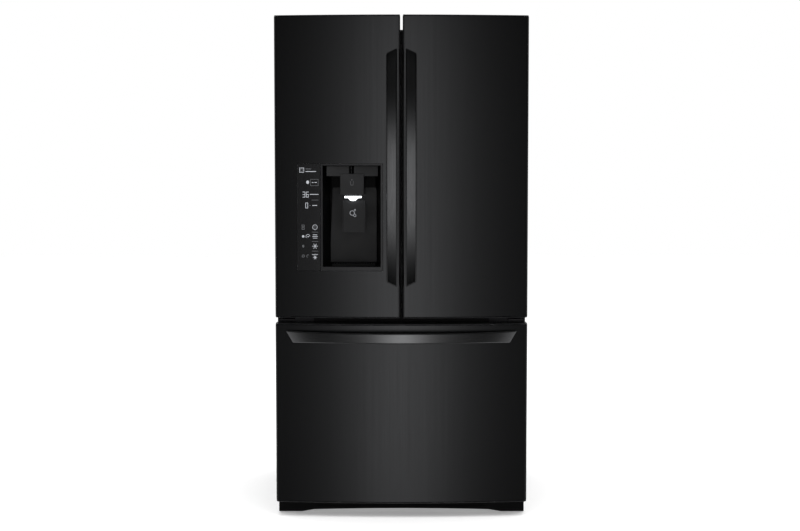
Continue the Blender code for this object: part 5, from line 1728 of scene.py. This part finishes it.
def makeCrispers():
    softenedCopy("crisper_frame", "cabinet", "clearBin", 0.0020)
    low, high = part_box("crisper_frame")
    boxPiece("crisper_front_trim", "cabinet", "trimGrey", [(
        (low.x + 0.0005, low.y - 0.0015, high.z - 0.0135), (high.x - 0.0005, low.y + 0.0030, high.z + 0.0004),
    )], bevel=0.0012)
    for node in ("left_crisper", "right_crisper", "pantry_drawer"):
        softenedCopy(node, node, "clearBin", 0.0020)
        low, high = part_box(node)
        middle, half = (low.x + high.x) / 2, (high.x - low.x) / 2
        reach = half * crisperSizes["gripShare"]
        platePiece(
            node + "_grip", node, "trimGrey", (middle - reach, middle + reach),
            (high.z - crisperSizes["gripLow"], high.z - crisperSizes["gripHigh"]), 0.0035,
            (low.y - 0.0004, low.y + 0.0035), bevel=0.0008,
        )
        growSlats(
            node + "_front_ribs", node, "clearBin", crisperSizes["ribs"],
            (middle, low.y + 0.0120, low.z + 0.018), (0, 0, crisperSizes["ribStep"]),
            (half * crisperSizes["ribShare"], 0.0012, 0.0022),
        )


makeCrispers()
print("fresh food space made")

# ---- freezer

freezerSizes = {
    "coverRibs": 6,
    "basketRibs": 15,
    "basketRibSpan": 0.68,
    "dividerHalf": 0.0025,
    "dividerHeight": 0.20,
}


def makeFreezer():
    for node, body, finishName, bevel, segments in (
        ("freezer_liner", "cabinet", "whiteLiner", 0.0045, 3),
        ("evaporator_cover", "cabinet", "whiteLiner", 0.0015, 2),
        ("freezer_basket", "freezer_drawer", "whiteLiner", 0.0018, 2),
        ("freezer_tray", "freezer_tray", "clearBin", 0.0018, 2),
        ("left_outer_rail", "cabinet", "zincPlate", 0.0010, 2),
        ("right_outer_rail", "cabinet", "zincPlate", 0.0010, 2),
        ("left_middle_rail", "left_middle_rail", "zincPlate", 0.0010, 2),
        ("right_middle_rail", "right_middle_rail", "zincPlate", 0.0010, 2),
    ):
        softenedCopy(node, body, finishName, bevel, segments)
    low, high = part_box("freezer_basket")
    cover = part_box("evaporator_cover")[0]
    growSlats(
        "evaporator_cover_ribs", "cabinet", "whiteLiner", freezerSizes["coverRibs"],
        (0, cover.y - 0.0006, cover.z + 0.12), (0, 0, 0.05), (0.60, 0.0022, 0.008),
    )
    half, top = freezerSizes["dividerHalf"], low.z + freezerSizes["dividerHeight"]
    boxPiece("freezer_basket_divider", "freezer_drawer", "clearBin", [
        ((-half, low.y + 0.004, low.z + 0.0035), (half, high.y - 0.004, top)),
    ], bevel=0.0012)
    ribs, across = freezerSizes["basketRibs"], freezerSizes["basketRibSpan"]
    growSlats(
        "freezer_basket_ribs", "freezer_drawer", "whiteLiner", ribs,
        (-across / 2, (low.y + high.y) / 2, low.z + 0.0042), (across / (ribs - 1), 0, 0),
        (0.003, high.y - low.y - 0.03, 0.0022),
    )


makeFreezer()
print("freezer made")

# ---- floor, light and camera

studio = {
    "floor": (0.95, 0.95, 0.95),
    "floorHalf": 14,
    "floorGlow": 0.20,
    "ambient": 0.86,
    "reflected": 1.54,
    "topLight": 170.0,
    "topSize": 5.0,
    "topPlace": (0.3, -0.6, 4.6),
}
view = {
    "lens": 62.81,
    "shift": (-0.0018, -0.0157),
    "distance": 5.0,      # from the doors' edges
    "height": 1.2727,
    "tip": 0.063,         # downwards, in radians
}


def makeFloor():
    half = studio["floorHalf"]
    bm = bmesh.new()
    addBox(bm, (-half, -half, -0.05), (half, half, 0))
    mesh = bpy.data.meshes.new("floor")
    bm.to_mesh(mesh)
    bm.free()
    floor = bpy.data.objects.new("floor", mesh)
    bpy.context.scene.collection.objects.link(floor)
    paint = bpy.data.materials.new("floorPaint")
    paint.use_nodes = True
    shader = paint.node_tree.nodes["Principled BSDF"].inputs
    for label, value in {
        "Base Color": (*studio["floor"], 1.0), "Roughness": 0.9, "Specular IOR Level": 0.0,
        "Emission Color": (1, 1, 1, 1), "Emission Strength": studio["floorGlow"],
    }.items():
        shader[label].default_value = value
    mesh.materials.append(paint)
    floor.visible_glossy = False


def rampNode(tree, value, stops):
    ramp = addNode(tree, "ShaderNodeValToRGB", {0: value})
    ramp.color_ramp.interpolation = "EASE"
    elements = ramp.color_ramp.elements
    elements[0].position, elements[1].position = stops[0][0], stops[-1][0]
    for position, _ in stops[1:-1]:
        elements.new(position)
    for element, (_, level) in zip(elements, stops):
        element.color = (level, level, level, 1.0)
    return ramp.outputs[0]


# what the gloss reflects, as stops of (place, level): sweep and side run from the front round to the back,
# height and low from the floor to the ceiling
reflections = {
    "sweep": [
        (0.0, 1.0), (0.014, 0.97), (0.030, 0.56), (0.045, 0.30), (0.062, 0.16), (0.085, 0.10),
        (0.11, 0.07), (0.16, 0.02), (0.23, 0.03), (0.32, 0.20), (0.42, 0.36), (0.56, 0.36),
        (0.70, 0.26), (0.86, 0.50), (1.0, 0.80),
    ],
    "height": [
        (0.0, 0.25), (0.30, 0.12), (0.37, 0.05), (0.400, 0.30), (0.420, 0.80), (0.440, 1.0),
        (0.48, 0.94), (0.525, 0.98), (0.542, 0.48), (0.558, 0.15), (0.578, 0.025), (0.60, 0.015),
        (0.65, 0.08), (0.75, 0.14), (1.0, 0.55),
    ],
    # light low at the sides, for the panels as seen from a corner
    "side": [(0.0, 0.0), (0.13, 0.0), (0.17, 0.13), (0.26, 0.30), (0.42, 0.38), (1.0, 0.5)],
    "low": [(0.0, 1.0), (0.415, 1.0), (0.452, 0.0), (1.0, 0.0)],
}


def makeWorld():
    # white to the eye, and a tall soft panel in front to reflections
    world = bpy.data.worlds.new("studioAir")
    bpy.context.scene.world = world
    world.use_nodes = True
    tree = world.node_tree
    background = tree.nodes["Background"].inputs
    background["Color"].default_value = (1, 1, 1, 1)
    place = addNode(tree, "ShaderNodeTexCoord").outputs["Generated"]
    parts = addNode(tree, "ShaderNodeSeparateXYZ", {0: place}).outputs
    azimuth = mathNode(tree, "ARCTAN2", parts["X"], mathNode(tree, "MULTIPLY", parts["Y"], -1.0))
    turn = mathNode(tree, "DIVIDE", mathNode(tree, "ABSOLUTE", azimuth), math.pi)
    elevation = mathNode(tree, "DIVIDE", mathNode(tree, "ARCSINE", parts["Z"]), math.pi)
    rise = mathNode(tree, "ADD", elevation, 0.5)
    front, corner = (
        mathNode(
            tree, "MULTIPLY", rampNode(tree, turn, reflections[across]), rampNode(tree, rise, reflections[up])
        )
        for across, up in (("sweep", "height"), ("side", "low"))
    )
    panels = mathNode(tree, "MAXIMUM", front, corner)
    gloss = mathNode(tree, "MULTIPLY", panels, studio["reflected"])
    path = addNode(tree, "ShaderNodeLightPath").outputs
    strength = mapRange(tree, path["Is Glossy Ray"], 0.0, 1.0, studio["ambient"], gloss)
    strength = mapRange(tree, path["Is Camera Ray"], 0.0, 1.0, strength, 1.0)
    join(tree, strength, background["Strength"])


def makeTopLight():
    light = bpy.data.lights.new("topPanel", "AREA")
    light.shape = "SQUARE"
    light.size = studio["topSize"]
    light.energy = studio["topLight"]
    holder = bpy.data.objects.new("topPanel", light)
    holder.location = studio["topPlace"]
    holder.visible_glossy = False
    bpy.context.scene.collection.objects.link(holder)


def makeCamera():
    lens = bpy.data.cameras.new("camera")
    lens.sensor_width = 36.0
    lens.lens = view["lens"]
    lens.shift_x, lens.shift_y = view["shift"]
    holder = bpy.data.objects.new("camera", lens)
    holder.location = (0.0, rearY - panelSizes["edgeDepth"] - view["distance"], view["height"])
    holder.rotation_euler = (math.pi / 2 - view["tip"], 0.0, 0.0)
    bpy.context.scene.collection.objects.link(holder)
    bpy.context.scene.camera = holder


makeFloor()
makeWorld()
makeTopLight()
makeCamera()
bpy.context.scene.view_settings.view_transform = "Standard"
print("stage made")
